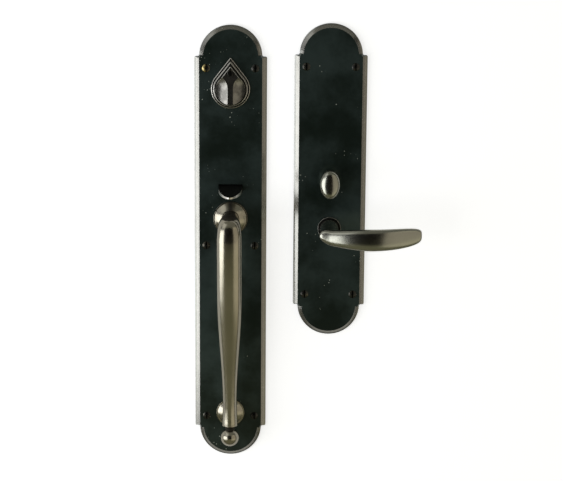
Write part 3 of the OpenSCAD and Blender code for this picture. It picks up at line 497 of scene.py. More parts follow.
def link(name: str, mesh: bpy.types.Mesh) -> bpy.types.Object:
    """Puts a mesh into the scene as an object at the origin."""
    obj = bpy.data.objects.new(name, mesh)
    bpy.context.scene.collection.objects.link(obj)
    return obj


def clothe(mesh: bpy.types.Mesh, material: bpy.types.Material) -> None:
    """Gives every face of a mesh the same material."""
    mesh.materials.clear()
    mesh.materials.append(material)
    mesh.polygons.foreach_set("material_index", [0] * len(mesh.polygons))


def mark_slopes(mesh: bpy.types.Mesh, share: WearAndShade) -> None:
    """Writes how far each face is rubbed bare, or below 0 how much shade is painted on it, for the materials
    to read.

    Args:
        mesh: the mesh that gets the mark.
        share: gives a share from a face's middle and its normal, below 0 for painted shade.
    """
    layer = mesh.attributes.get(WEAR_AND_SHADE) or mesh.attributes.new(WEAR_AND_SHADE, "FLOAT", "CORNER")
    for face in mesh.polygons:
        value = share(face.center, face.normal)
        for corner in face.loop_indices:
            layer.data[corner].value = value


def tilt_of(normal: Vector) -> float:
    """Gives how far a face is tilted from the front, in degrees."""
    return math.degrees(math.acos(max(-1.0, min(1.0, normal.dot(FRONT)))))


def never_rubbed(_middle: Vector, _normal: Vector) -> float:
    """Nothing is rubbed bare and no shade is painted."""
    return 0.0


def slope_share(_middle: Vector, normal: Vector) -> float:
    """Faces that slope between the front and the side are rubbed most, upright sides a little."""
    tilt = tilt_of(normal)
    if tilt < 9:
        return 0.0
    return 1.0 if tilt < 75 else 0.25 if tilt < 100 else 0.0


def freeze(obj: bpy.types.Object) -> bpy.types.Object:
    """Turns an object and its modifiers into a plain mesh.

    Args:
        obj: the object, with live modifiers.

    Returns:
        The same object, with the result as its own mesh.
    """
    bpy.context.view_layer.update()
    graph = bpy.context.evaluated_depsgraph_get()
    mesh = bpy.data.meshes.new_from_object(
        obj.evaluated_get(graph), preserve_all_data_layers=True, depsgraph=graph)
    obj.modifiers.clear()
    obj.data = mesh
    return obj


def smooth_mesh(shape: bmesh.types.BMesh, name: str) -> bpy.types.Mesh:
    """Turns a shape into a smooth mesh and frees it."""
    for face in shape.faces:
        face.smooth = True
    mesh = bpy.data.meshes.new(name)
    shape.to_mesh(mesh)
    shape.free()
    return mesh


MERGE_REACH = 2e-6
FLAT_ANGLE = 0.4
SHADING_MARGIN = 8.0


def eased_copy(node: str, name: str, edge: float, sharp: float) -> bpy.types.Object:
    """Copies a CAD node as a merged, smooth mesh with eased edges.

    Args:
        node: the CAD node.
        name: the new piece's name.
        edge: width of the eased edges, in metres.
        sharp: angle from which an edge counts as sharp, in degrees.

    Returns:
        The new piece, which doesn't replace the node yet.
    """
    shape = bmesh.new()
    shape.from_mesh(bpy.data.objects[node].data)
    bmesh.ops.remove_doubles(shape, verts=shape.verts, dist=MERGE_REACH)
    flat = math.radians(FLAT_ANGLE)
    bmesh.ops.dissolve_limit(shape, angle_limit=flat, verts=shape.verts, edges=shape.edges)
    obj = link(name, smooth_mesh(shape, name))
    bevel = obj.modifiers.new("eased edges", "BEVEL")
    bevel.width = edge
    bevel.segments = 2
    bevel.limit_method = "ANGLE"
    bevel.angle_limit = math.radians(sharp)
    freeze(obj)
    obj.data.set_sharp_from_angle(angle=math.radians(sharp + SHADING_MARGIN))
    level = obj.modifiers.new("level faces", "WEIGHTED_NORMAL")
    level.keep_sharp = True
    level.weight = 90
    return freeze(obj)


def seat(
    obj: bpy.types.Object,
    body: str,
    slot: str,
    *nodes: str,
    wound_by: Winding | None = None,
) -> bpy.types.Object:
    """Lets a finished piece ride on its body in place of CAD nodes; a wound spring is only fixed in place.

    Args:
        obj: the piece.
        body: the CAD body that it rides on.
        slot: the record's material slot; not used.
        nodes: the CAD nodes that it stands for.
        wound_by: for a torsion spring, the body that winds it, and the places between which it does; only
            whether it is given is read.

    Returns:
        The piece.
    """
    if wound_by:
        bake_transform(obj)
    else:
        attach(obj, body)
    if nodes:
        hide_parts(*nodes)
    log.info("%s: %d faces on %s", obj.name, len(obj.data.polygons), body)
    return obj


def join(name: str, meshes: Iterable[bpy.types.Mesh]) -> bpy.types.Object:
    """Puts several meshes into one piece.

    Args:
        name: the piece's name.
        meshes: the meshes, which are used up.

    Returns:
        The piece, smooth but for its sharp edges.
    """
    shape = bmesh.new()
    for part in meshes:
        shape.from_mesh(part)
        bpy.data.meshes.remove(part)
    mesh = smooth_mesh(shape, name)
    mesh.set_sharp_from_angle(angle=math.radians(32))
    return link(name, mesh)


def ease(share: float) -> float:
    """Runs smoothly from 0 to 1 as the share does."""
    return (1 - math.cos(math.pi * min(max(share, 0.0), 1.0))) / 2


def bulge(value: float, square: float) -> float:
    """Gives one coordinate of a squared-off circle from that of a round one."""
    return math.copysign(abs(value) ** (2 / square), value)


def all_round(count: int) -> list[float]:
    """Gives evenly spaced angles round a circle."""
    return [2 * math.pi * j / count for j in range(count)]


def oval(half: float, deep: float, square: float, sides: int) -> list[tuple[float, float]]:
    """Gives the points of a squared-off oval from its half width and its half depth."""
    return [(half * bulge(math.cos(a), square), deep * bulge(math.sin(a), square)) for a in all_round(sides)]


@dataclass(frozen=True)
class DoorFace:
    """The face of a door, on which a trim is drawn in millimetres: across, up and out of the door."""

    across: float = 0.0
    up: float = 0.0

    def point(self, across: float, up: float, out: float) -> Vector:
        """Gives the place of a drawn point in the frame, in metres."""
        return Vector(((self.across + across) * MM, -out * MM, (self.up + up) * MM))


INSIDE_FACE = DoorFace(105.0, 69.8)
LEVER_FACE = DoorFace(105.0, 19.6)


def loft(name: str, rings: Sequence[Sequence[Vector]]) -> bpy.types.Mesh:
    """Makes a closed skin over a stack of rings.

    Args:
        name: the mesh's name.
        rings: the rings, each with the same number of points.

    Returns:
        The mesh, its faces outwards.
    """
    count = len(rings[0])
    points = [tuple(p) for ring in rings for p in ring]
    faces: list[tuple[int, ...]] = []
    for i in range(len(rings) - 1):
        for j in range(count):
            k = (j + 1) % count
            faces.append((i * count + j, i * count + k, (i + 1) * count + k, (i + 1) * count + j))
    faces.append(tuple(reversed(range(count))))
    faces.append(tuple(range((len(rings) - 1) * count, len(rings) * count)))
    mesh = bpy.data.meshes.new(name)
    mesh.from_pydata(points, [], faces)
    shape = bmesh.new()
    shape.from_mesh(mesh)
    bmesh.ops.recalc_face_normals(shape, faces=shape.faces)
    shape.to_mesh(mesh)
    shape.free()
    return mesh


# Geometry Nodes


def new_rig(name: str, inputs: Sequence[SocketRow]) -> Tree:
    """Makes an empty Geometry Nodes tree with named inputs.

    Args:
        name: the tree's name.
        inputs: name, socket type and default value of each input.

    Returns:
        The tree, with its two end nodes named "in" and "out".
    """
    geometry = ("Geometry", "NodeSocketGeometry")
    return new_group(name, [(*geometry, None), *inputs], [geometry], "GeometryNodeTree")


def close_rig(tree: Tree, geometry: Socket) -> None:
    """Ends a tree: real geometry with its material."""
    source, sink = ends_of(tree)
    real = add(tree, "GeometryNodeRealizeInstances", {"Geometry": geometry}).outputs[0]
    painted = add(tree, "GeometryNodeSetMaterial", {"Geometry": real, "Material": source["Material"]})
    tree.links.new(painted.outputs[0], sink[0])


def turned_rig() -> Tree:
    """Turns the object's own points, read as radius and height, round the Z axis like a lathe.

    Returns:
        The tree.
    """
    tree = new_rig("Turned piece", [
        ("Segments", "NodeSocketInt", 64),
        ("Material", "NodeSocketMaterial", None),
    ])
    source, _sink = ends_of(tree)
    size = add(tree, "GeometryNodeAttributeDomainSize", {"Geometry": source["Geometry"]}, component="MESH")
    rows = size.outputs["Point Count"]
    columns = maths(tree, "ADD", source["Segments"], 1.0)
    grid = add(tree, "GeometryNodeMeshGrid", {"Vertices X": columns, "Vertices Y": rows})
    uv = add(tree, "ShaderNodeSeparateXYZ", {"Vector": grid.outputs["UV Map"]}).outputs
    row = maths(tree, "ROUND", maths(tree, "MULTIPLY", uv["Y"], maths(tree, "SUBTRACT", rows, 1.0)))
    place = add(tree, "GeometryNodeInputPosition").outputs[0]
    read = {"Geometry": source["Geometry"], "Value": place, "Index": row}
    sample = add(tree, "GeometryNodeSampleIndex", read, data_type="FLOAT_VECTOR", domain="POINT")
    drawn = add(tree, "ShaderNodeSeparateXYZ", {"Vector": sample.outputs[0]}).outputs
    turn = maths(tree, "MULTIPLY", uv["X"], 2 * math.pi)
    spot = add(tree, "ShaderNodeCombineXYZ", {
        "X": maths(tree, "MULTIPLY", drawn["X"], maths(tree, "COSINE", turn)),
        "Y": maths(tree, "MULTIPLY", drawn["X"], maths(tree, "SINE", turn)),
        "Z": drawn["Z"],
    })
    moved = {"Geometry": grid.outputs["Mesh"], "Position": spot.outputs[0]}
    moved = add(tree, "GeometryNodeSetPosition", moved)
    merged = add(tree, "GeometryNodeMergeByDistance", {"Geometry": moved.outputs[0], "Distance": 1e-6})
    smooth = add(tree, "GeometryNodeSetShadeSmooth", {"Geometry": merged.outputs[0]})
    close_rig(tree, smooth.outputs[0])
    return tree


def screw_rig() -> Tree:
    """Sets one slotted wood screw at every point of the object, its head to the front.

    Returns:
        The tree. Its "Blank" is the turned body, which gets a slot and a wound thread.
    """
    tree = new_rig("Slotted wood screws", [
        ("Blank", "NodeSocketObject", None),
        ("Slot Width", "NodeSocketFloat", 1.1 * MM),
        ("Slot Length", "NodeSocketFloat", 10 * MM),
        ("Slot Floor", "NodeSocketFloat", 0.0),
        ("Thread Radius", "NodeSocketFloat", 1.9 * MM),
        ("Thread Length", "NodeSocketFloat", 18 * MM),
        ("Thread Turns", "NodeSocketFloat", 11.0),
        ("Thread Start", "NodeSocketFloat", -27 * MM),
        ("Material", "NodeSocketMaterial", None),
    ])
    cutter_h, ridge_r = 6 * MM, 0.42 * MM
    source, _sink = ends_of(tree)
    blank = add(tree, "GeometryNodeObjectInfo", {"Object": source["Blank"]}).outputs["Geometry"]
    size = {"X": source["Slot Width"], "Y": source["Slot Length"], "Z": cutter_h}
    size = add(tree, "ShaderNodeCombineXYZ", size).outputs[0]
    slot = add(tree, "GeometryNodeMeshCube", {"Size": size}).outputs["Mesh"]
    lift = maths(tree, "ADD", source["Slot Floor"], cutter_h / 2)
    lift = add(tree, "ShaderNodeCombineXYZ", {"Z": lift}).outputs[0]
    slot = add(tree, "GeometryNodeTransform", {"Geometry": slot, "Translation": lift}).outputs[0]
    solids = {"Mesh 1": blank, "Mesh 2": slot}
    cut = add(tree, "GeometryNodeMeshBoolean", solids, operation="DIFFERENCE", solver="EXACT").outputs[0]
    wind = add(tree, "GeometryNodeCurveSpiral", {
        "Resolution": 20, "Rotations": source["Thread Turns"], "Start Radius": source["Thread Radius"],
        "End Radius": source["Thread Radius"], "Height": source["Thread Length"],
    }).outputs[0]
    ridge = add(tree, "GeometryNodeCurvePrimitiveCircle", {"Resolution": 4, "Radius": ridge_r}).outputs[0]
    drawn = {"Curve": wind, "Profile Curve": ridge, "Fill Caps": True}
    thread = add(tree, "GeometryNodeCurveToMesh", drawn).outputs[0]
    start = add(tree, "ShaderNodeCombineXYZ", {"Z": source["Thread Start"]}).outputs[0]
    thread = add(tree, "GeometryNodeTransform", {"Geometry": thread, "Translation": start}).outputs[0]
    both = add(tree, "GeometryNodeJoinGeometry")
    tree.links.new(thread, both.inputs[0])
    tree.links.new(cut, both.inputs[0])
    screws = add(tree, "GeometryNodeInstanceOnPoints", {
        "Points": source["Geometry"], "Instance": both.outputs[0], "Rotation": (math.pi / 2, 0.0, 0.0),
    })
    close_rig(tree, screws.outputs[0])
    return tree


def wire_rig() -> Tree:
    """Draws round wire along the object's own edges.

    Returns:
        The tree.
    """
    tree = new_rig("Bent wire", [
        ("Wire Radius", "NodeSocketFloat", 0.5 * MM),
        ("Material", "NodeSocketMaterial", None),
    ])
    source, _sink = ends_of(tree)
    path = add(tree, "GeometryNodeMeshToCurve", {"Mesh": source["Geometry"]}).outputs[0]
    section = {"Resolution": 14, "Radius": source["Wire Radius"]}
    section = add(tree, "GeometryNodeCurvePrimitiveCircle", section).outputs[0]
    drawn = {"Curve": path, "Profile Curve": section, "Fill Caps": True}
    wire = add(tree, "GeometryNodeCurveToMesh", drawn).outputs[0]
    smooth = add(tree, "GeometryNodeSetShadeSmooth", {"Geometry": wire})
    close_rig(tree, smooth.outputs[0])
    return tree


@dataclass
class Bench:
    """The Geometry Nodes trees, each built once, and the way to run them."""

    lathe: Tree = field(default_factory=turned_rig)
    screws: Tree = field(default_factory=screw_rig)
    wire: Tree = field(default_factory=wire_rig)

    def run(
        self,
        tree: Tree,
        name: str,
        points: Sequence[Vector],
        edges: Sequence[tuple[int, int]],
        values: dict[str, object],
    ) -> bpy.types.Object:
        """Runs a tree on a few points and keeps the result as a plain mesh.

        Args:
            tree: the tree.
            name: name of the new object.
            points: the points that the tree works on.
            edges: the edges between them.
            values: input name to value.

        Returns:
            The object, its modifier gone.
        """
        mesh = bpy.data.meshes.new(name)
        mesh.from_pydata([tuple(p) for p in points], list(edges), [])
        obj = link(name, mesh)
        modifier = obj.modifiers.new(tree.name, "NODES")
        modifier.node_group = tree
        for item in tree.interface.items_tree:
            if item.in_out == "INPUT" and item.name in values:
                modifier[item.identifier] = values[item.name]
        freeze(obj)
        clothe(obj.data, values["Material"])
        return obj

    def turn(
        self,
        name: str,
        outline: Outline,
        segments: int,
        material: bpy.types.Material,
        at: Vector | None = None,
        along: str = "out",
    ) -> bpy.types.Mesh:
        """Turns an outline of radius and height, in millimetres, and stands it in its place.

        Args:
            name: name of the mesh.
            outline: the outline from its lower end to its upper one.
            segments: faces round the piece.
            material: the metal.
            at: place of the outline's zero.
            along: "out" where the axis points out of the door, "down" where it hangs.

        Returns:
            The mesh.
        """
        points = [Vector((r * MM, 0.0, h * MM)) for r, h in outline]
        edges = [(i, i + 1) for i in range(len(points) - 1)]
        obj = self.run(self.lathe, name, points, edges, {"Segments": segments, "Material": material})
        angle = math.pi / 2 if along == "out" else math.pi
        mesh = obj.data
        mesh.transform(Matrix.Translation(at or Vector()) @ Matrix.Rotation(angle, 4, "X"))
        bpy.data.objects.remove(obj)
        return mesh


def arc(middle: tuple[float, float], radius: float, start: float, end: float, steps: int) -> Outline:
    """Gives the points of an arc in radius and height, from one angle to another in degrees."""
    angles = [math.radians(start + (end - start) * i / steps) for i in range(steps + 1)]
    return [(max(middle[0] + radius * math.cos(a), 0.0), middle[1] + radius * math.sin(a)) for a in angles]


# Sub-assemblies


@dataclass
class Workshop:
    """What every sub-assembly is made with."""

    palette: Palette
    bench: Bench

    def metal(self, tone: Tone) -> bpy.types.Material:
        """Gives a finished material."""
        return self.palette.materials[tone]

    def dress(
        self,
        node: str,
        body: str,
        tone: Tone,
        slot: str,
        edge: float = 0.2,
        sharp: float = 28.0,
        rub: WearAndShade = slope_share,
    ) -> bpy.types.Object:
        """Puts a merged copy with eased edges in a CAD node's place.

        Args:
            node: the CAD node.
            body: the body that it rides on.
            tone: its finish.
            slot: the record's material slot; not used.
            edge: width of the eased edges in millimetres.
            sharp: angle from which an edge is eased, in degrees.
            rub: gives how far a face is rubbed bare, or below 0 how much shade is painted.

        Returns:
            The copy.
        """
        piece = eased_copy(node, node + "_dressed", edge * MM, sharp)
        mark_slopes(piece.data, rub)
        self.palette.paint(piece, tone)
        return seat(piece, body, slot, node)

    def cast(
        self,
        name: str,
        meshes: Iterable[bpy.types.Mesh],
        body: str,
        tone: Tone,
        slot: str,
        *nodes: str,
        rub: WearAndShade = never_rubbed,
    ) -> bpy.types.Object:
        """Puts new meshes as one casting in the place of CAD nodes.

        Args:
            name: the casting's name.
            meshes: its meshes.
            body: the body that it rides on.
            tone: its finish.
            slot: the record's material slot; not used.
            nodes: the CAD nodes that it stands for.
            rub: gives how far a face is rubbed bare, or below 0 how much shade is painted.

        Returns:
            The casting.
        """
        piece = join(name, meshes)
        mark_slopes(piece.data, rub)
        self.palette.paint(piece, tone)
        return seat(piece, body, slot, *nodes)


@dataclass
class ArchedTrim:
    """A plate with its moulded border and its face screws. Sizes are in millimetres."""

    node: str
    screws_node: str
    face: DoorFace
    tone: Tone
    screw_rows: tuple[float, ...]
    screw_pitch: float = 51.5
    plate_t: float = 6.0
    head_r: float = 4.1
    head_rise: float = 0.9
    cone_h: float = 2.2
    neck_r: float = 2.3
    core_r: float = 1.5
    screw_len: float = 32.0
    slot_w: float = 1.3
    slot_d: float = 1.2
    thread_h: float = 0.15
    tip_len: float = 5.0
    brassy: tuple[float, float] | None = None
    brassy_reach: float = 6.0

    def build(self, shop: Workshop) -> None:
        """Builds the plate and its screws.

        Args:
            shop: what the pieces are made with.
        """
        shop.dress(self.node, "trims", self.tone, "dark_bronze", edge=0.35, rub=self.border_rub)
        self.build_screws(shop)

    def border_rub(self, _middle: Vector, normal: Vector) -> float:
        """The bevel is rubbed bare, the lip nearly, the field and the upright edge aren't."""
        tilt = tilt_of(normal)
        if tilt < 12:
            return 0.0
        if tilt < 32:
            return 0.75
        return 1.0 if tilt < 60 else 0.3

    def screw_outline(self) -> Outline:
        """Draws half a screw, its zero at the rim of the head."""
        radius = (self.head_r ** 2 + self.head_rise ** 2) / (2 * self.head_rise)
        edge = math.degrees(math.acos(self.head_r / radius))
        shank = [
            (0.0, -self.screw_len),
            (self.core_r, self.tip_len - self.screw_len),
            (self.core_r, -8.0),
            (self.neck_r, -7.2),
            (self.neck_r, -self.cone_h),
            (self.head_r - 0.08, -0.12),
            (self.head_r, 0.0),
        ]
        return shank + arc((0.0, self.head_rise - radius), radius, edge, 90.0, 8)[1:]

    def build_screws(self, shop: Workshop) -> None:
        """Sets the slotted screws at the screw places.

        Args:
            shop: what the pieces are made with.
        """
        metal = shop.metal(Tone.SCREW_BRASS)
        blank = link("screw_blank", shop.bench.turn("screw_blank", self.screw_outline(), 32, metal))
        blank.data.transform(Matrix.Rotation(-math.pi / 2, 4, "X"))
        spots = [
            self.face.point(side * self.screw_pitch / 2, row, self.plate_t)
            for side in (-1, 1)
            for row in self.screw_rows
        ]
        obj = shop.bench.run(shop.bench.screws, self.screws_node + "_slotted", spots, [], {
            "Blank": blank,
            "Slot Width": self.slot_w * MM,
            "Slot Floor": (self.head_rise - self.slot_d) * MM,
            "Thread Radius": (self.core_r + self.thread_h) * MM,
            "Thread Start": (3.0 - self.screw_len) * MM,
            "Material": metal,
        })
        bpy.data.objects.remove(blank)
        obj.data.set_sharp_from_angle(angle=math.radians(35))
        mark_slopes(obj.data, self.screw_rub)
        seat(obj, "trims", "brass_screws", self.screws_node)

    def screw_rub(self, middle: Vector, normal: Vector) -> float:
        """Painted shade fills the slots. One screw has lost its patina, bare on its left half and darker on
        its right as painted light from the left; the others hardly have.
        """
        rows = (self.face.across + side * self.screw_pitch / 2 for side in (-1, 1))
        across = min(abs(middle.x - row * MM) for row in rows)
        floor = (self.plate_t + self.head_rise - 0.9 * self.slot_d) * MM
        # The slot gets painted shade.
        if across < 0.51 * self.slot_w * MM and (abs(normal.x) > 0.9 or -middle.y < floor):
            return -1.0
        if self.brassy:
            right, up = middle.x - self.brassy[0] * MM, middle.z - self.brassy[1] * MM
            if max(abs(right), abs(up)) < self.brassy_reach * MM:
                # Left half bare and bright, right half darker: painted highlight and shade from the left.
                return 1.0 if right < 0 else 0.2
        return 0.04


@dataclass
class CoveredCylinder:
    """The teardrop collar with its swing cover on one pivot screw. Sizes are in millimetres."""

    cover_out: float = 11.3
    cover_t: float = 5.5

    def build(self, shop: Workshop) -> None:
        """Builds the collar, the cover and the pivot screw.

        Args:
            shop: what the pieces are made with.
        """
        shop.dress("cylinder_collar", "trims", Tone.TRIM_PATINA, "dark_bronze", 0.22, rub=self.ledge_wear_and_shade)
        shop.dress("swing_cover", "swing_cover", Tone.COVER_BRONZE, "rubbed_bronze", 0.45, rub=self.scoop_rub)
        shop.dress("cover_pivot_screw", "trims", Tone.SCREW_BRASS, "brass_screws", 0.15, rub=self.screw_rub)

    def ledge_wear_and_shade(self, _middle: Vector, normal: Vector) -> float:
        """Only the chamfers and the eased edges of the ledges are bare; painted shade lies on the rest of the
        collar.
        """
        # Everything but the chamfers gets painted shade.
        return 1.0 if 12 < tilt_of(normal) < 75 else -0.7

    def scoop_rub(self, middle: Vector, normal: Vector) -> float:
        """The rims of the scoops and the cover's own edge are rubbed most."""
        if -middle.y > (self.cover_out + self.cover_t - 0.05) * MM:
            return 0.0
        return 0.22 if tilt_of(normal) < 40 else 1.0

    def screw_rub(self, _middle: Vector, _normal: Vector) -> float:
        """The pivot screw is a little worn all over."""
        return 0.12


@dataclass
class ThumbLatch:
    """The thumb piece and the spring that lifts it. Sizes are in millimetres."""

    pivot_up: float = 64.5
    pivot_back: float = 5.0
    coil_from: float = 9.2
    coil_r: float = 3.2
    wire_r: float = 0.5
    pitch: float = 1.2
    turns: float = 3.0
    leg: float = 8.5
    leg_gap: float = 0.9
    steps: int = 32

    def build(self, shop: Workshop) -> None:
        """Builds the thumb piece and its spring.

        Args:
            shop: what the pieces are made with.
        """
        shop.dress("thumb_piece", "thumb_piece", Tone.TRIM_PATINA, "dark_bronze", edge=0.4, rub=self.lip_wear_and_shade)
        face = DoorFace(0.0, self.pivot_up)
        path = [face.point(self.coil_from, self.leg, self.coil_r + self.leg_gap - self.pivot_back)]
        for i in range(int(self.turns * self.steps) + 1):
            angle = math.pi + 2 * math.pi * i / self.steps
            across = self.coil_from + self.pitch * i / self.steps
            out = -self.pivot_back - self.coil_r * math.cos(angle)
            path.append(face.point(across, self.coil_r * math.sin(angle), out))
        coil_to = self.coil_from + self.pitch * self.turns
        path.append(face.point(coil_to, -self.leg, self.coil_r - self.pivot_back))
        build_spring(shop, "thumb_spring", path, self.wire_r, "trims")

    def lip_wear_and_shade(self, middle: Vector, normal: Vector) -> float:
        """The lip round the dish is rubbed bare where it slopes, painted shade lies in the dish and on the
        hub.
        """
        # Faces near the plate and faces that look up get painted shade.
        if middle.y > -0.006 or normal.z > 0.75:
            return -0.8
        return 1.0 if normal.dot(FRONT) > 0.12 else 0.5


def build_spring(
    shop: Workshop,
    node: str,
    path: Sequence[Vector],
    wire_r: float,
    body: str,
    wound_by: Winding | None = None,
) -> None:
    """Bends a wire along a path in place of a CAD spring.

    Args:
        shop: what the pieces are made with.
        node: the CAD node of the spring.
        path: the middle line of the wire.
        wire_r: radius of the wire in millimetres.
        body: the body that it rides on.
        wound_by: the body that winds it, and the places between which it does; only whether it is given is
            read, and the spring then stays fixed in place.
    """
    edges = [(i, i + 1) for i in range(len(path) - 1)]
    values = {"Wire Radius": wire_r * MM, "Material": shop.metal(Tone.ZINC_STEEL)}
    obj = shop.bench.run(shop.bench.wire, node + "_wire", path, edges, values)
    obj.data.set_sharp_from_angle(angle=math.radians(50))
    mark_slopes(obj.data, never_rubbed)
    seat(obj, body, "zinc_steel", node, wound_by=wound_by)


@dataclass
class PullGrip:
    """The cast grip with its posts, roses and ball finial. Sizes are in millimetres."""

    face: DoorFace = DoorFace()
    plate_t: float = 6.0
    upper_post_up: float = 30.0
    lower_post_up: float = -186.0
    stand_off: float = 50.0
    low_stand_off: float = 28.0
    bend_r: float = 14.0
    corner: float = 3.7
    half_w: float = 13.0
    neck_half: float = 7.5
    foot_half: float = 8.2
    foot_past: float = 6.0
    depth_ratio: float = 0.82
    foot_depth_ratio: float = 0.97
    flare_from: float = 10.0
    flare_run: float = 44.0
    thin_from: float = -45.0
    thin_run: float = 127.0
    round_run: float = 110.0
    foot_from: float = -172.0
    foot_run: float = 20.0
    curved_share: float = 0.4
    upper_post_r: float = 9.0
    lower_post_r: float = 7.0
    ball_r: float = 9.9
    ball_drop: float = 21.0
    waist_r: float = 5.0
    square: float = 2.45
    sides: int = 88

    @property
    def bend_up(self) -> float:
        """Height of the bend's centre."""
        return self.upper_post_up - self.bend_r

    @property
    def foot_up(self) -> float:
        """Height of the grip's lower end."""
        return self.lower_post_up - self.foot_past

    @property
    def post_run(self) -> float:
        """Length of the axis along the upper post."""
        return self.stand_off - self.bend_r - self.plate_t

    @property
    def bend_run(self) -> float:
        """Length of the axis round the bend."""
        return self.bend_r * math.pi / 2

    @property
    def full_depth(self) -> float:
        """Half depth at the grip's widest place."""
        return self.half_w * self.depth_ratio

    def flare(self, run: float) -> float:
        """Share by which the post has become the grip, at a distance along the axis."""
        return ease((run - self.flare_from) / self.flare_run)

    def flare_half(self, run: float) -> float:
        """Half width at that distance."""
        return self.upper_post_r + (self.half_w - self.upper_post_r) * self.flare(run)

    def squareness(self, run: float) -> float:
        """Squareness at that distance, 2 for an oval."""
        return 2 + (self.square - 2) * self.flare(run)

    def axis_out(self, up: float) -> float:
        """Stand-off of the axis at a height."""
        share = (self.bend_up - up) / (self.bend_up - self.lower_post_up)
        share = self.curved_share * ease(share) + (1 - self.curved_share) * min(1.0, share)
        return self.stand_off + (self.low_stand_off - self.stand_off) * share

    def flared(self, up: float) -> float:
        """Half width that the flare alone gives at a height below the bend."""
        return self.flare_half(self.post_run + self.bend_run + self.bend_up - up)

    def half(self, up: float) -> float:
        """Half width at a height below the bend."""
        thinner = (self.neck_half - self.half_w) * ease((self.thin_from - up) / self.thin_run)
        wider = (self.foot_half - self.neck_half) * ease((self.foot_from - up) / self.foot_run)
        return self.flared(up) + thinner + wider

    def depth(self, up: float) -> float:
        """Half depth at a height below the bend."""
        rounder = (self.foot_depth_ratio - self.depth_ratio) * ease((self.thin_from - up) / self.round_run)
        return (self.half(up) + self.half_w - self.flared(up)) * (self.depth_ratio + rounder)

    def ring(
        self,
        up: float,
        out: float,
        turn: float,
        half: float,
        inward: float,
        outward: float,
        square: float,
    ) -> list[Vector]:
        """Draws one squared-off ring across the axis.

        Args:
            up: height of the axis.
            out: stand-off of the axis.
            turn: turn of the axis from straight out, in radians.
            half: half width.
            inward: depth on the door's side.
            outward: depth on the outer side.
            square: squareness, 2 for an oval.

        Returns:
            The ring's points.
        """
        points = []
        for j, angle in enumerate(all_round(self.sides)):
            deep = (outward if j < self.sides / 2 else inward) * bulge(math.sin(angle), square)
            across = half * bulge(math.cos(angle), square)
            points.append(self.face.point(across, up + deep * math.cos(turn), out + deep * math.sin(turn)))
        return points

    def post_rings(self, count: int = 14) -> list[list[Vector]]:
        """Draws the rings along the upper post."""
        stack = []
        for i in range(count):
            run = i * self.post_run / count
            deep = self.upper_post_r + (self.full_depth - self.upper_post_r) * ease(run / self.post_run)
            section = (self.flare_half(run), deep, deep, self.squareness(run))
            stack.append(self.ring(self.upper_post_up, self.plate_t + run, 0.0, *section))
        return stack

    def bend_rings(self, count: int = 24, gather: float = 1.6) -> list[list[Vector]]:
        """Draws the rings round the bend, closest at its corner."""
        stack = []
        for i in range(2 * count):
            share = i / count - 1
            angle = math.radians(45 + 45 * math.copysign(abs(share) ** gather, share))
            run = self.post_run + self.bend_r * angle
            up, out = math.cos(angle), math.sin(angle)
            corner = (abs(up) ** self.corner + abs(out) ** self.corner) ** (1 / self.corner)
            outward = (self.bend_r + self.full_depth) / corner - self.bend_r
            section = (self.flare_half(run), self.full_depth, outward, self.squareness(run))
            middle = (self.bend_up + self.bend_r * up, self.stand_off - self.bend_r + self.bend_r * out)
            stack.append(self.ring(*middle, angle, *section))
        return stack

    def bar_rings(self, count: int = 110) -> list[list[Vector]]:
        """Draws the rings from the bend to the foot."""
        stack = []
        for i in range(count + 1):
            up = self.bend_up + (self.foot_up - self.bend_up) * i / count
            lean = math.atan(self.axis_out(up + 0.5) - self.axis_out(up - 0.5))
            square = self.square - (self.square - 2) * ease(i / count)
            section = (self.half(up), self.depth(up), self.depth(up), square)
            stack.append(self.ring(up, self.axis_out(up), math.pi / 2 + lean, *section))
        return stack

    def build(self, shop: Workshop) -> None:
        """Builds the grip and its two roses.

        Args:
            shop: what the pieces are made with.
        """
        tone, slot = Tone.GRIP_BRONZE, "rubbed_bronze"
        metal = shop.metal(tone)
        grip = loft("grip", self.post_rings() + self.bend_rings() + self.bar_rings())
        low, high = self.plate_t, self.low_stand_off - 4
        outline = [(0.0, low), (self.lower_post_r, low), (self.lower_post_r, high), (0.0, high)]
        foot = self.face.point(0.0, self.lower_post_up, 0.0)
        post = shop.bench.turn("lower post", outline, 64, metal, foot)
        meshes = [grip, post, self.finial(shop, metal)]
        shop.cast("grip_casting", meshes, "trims", tone, slot, "grip_handle", rub=self.waist_painted_shade)
        shop.dress("upper_rose", "trims", tone, slot, edge=0.3, rub=self.rose_painted_shade)
        shop.dress("lower_rose", "trims", tone, slot, edge=0.3, rub=never_rubbed)

    def rose_painted_shade(self, middle: Vector, _normal: Vector) -> float:
        """Painted shade lies on the upper rose between the post and the thumb piece."""
        beside = ease(abs(middle.x) / (7 * MM))
        above = ease((middle.z - self.upper_post_up * MM) / (6 * MM))
        # Painted shade above the post, fading to the sides.
        return -0.85 * (1 - beside) * above

    def waist_painted_shade(self, middle: Vector, normal: Vector) -> float:
        """Painted shade lies in the finial's waist and on top of the bend."""
        # Painted shade on the bend's top and in the finial's waist.
        if normal.z > 0.8 and middle.z > self.bend_up * MM:
            return -0.85
        down = self.lower_post_up - middle.z / MM
        return -0.9 if 7.6 < down < 11.8 else 0.0

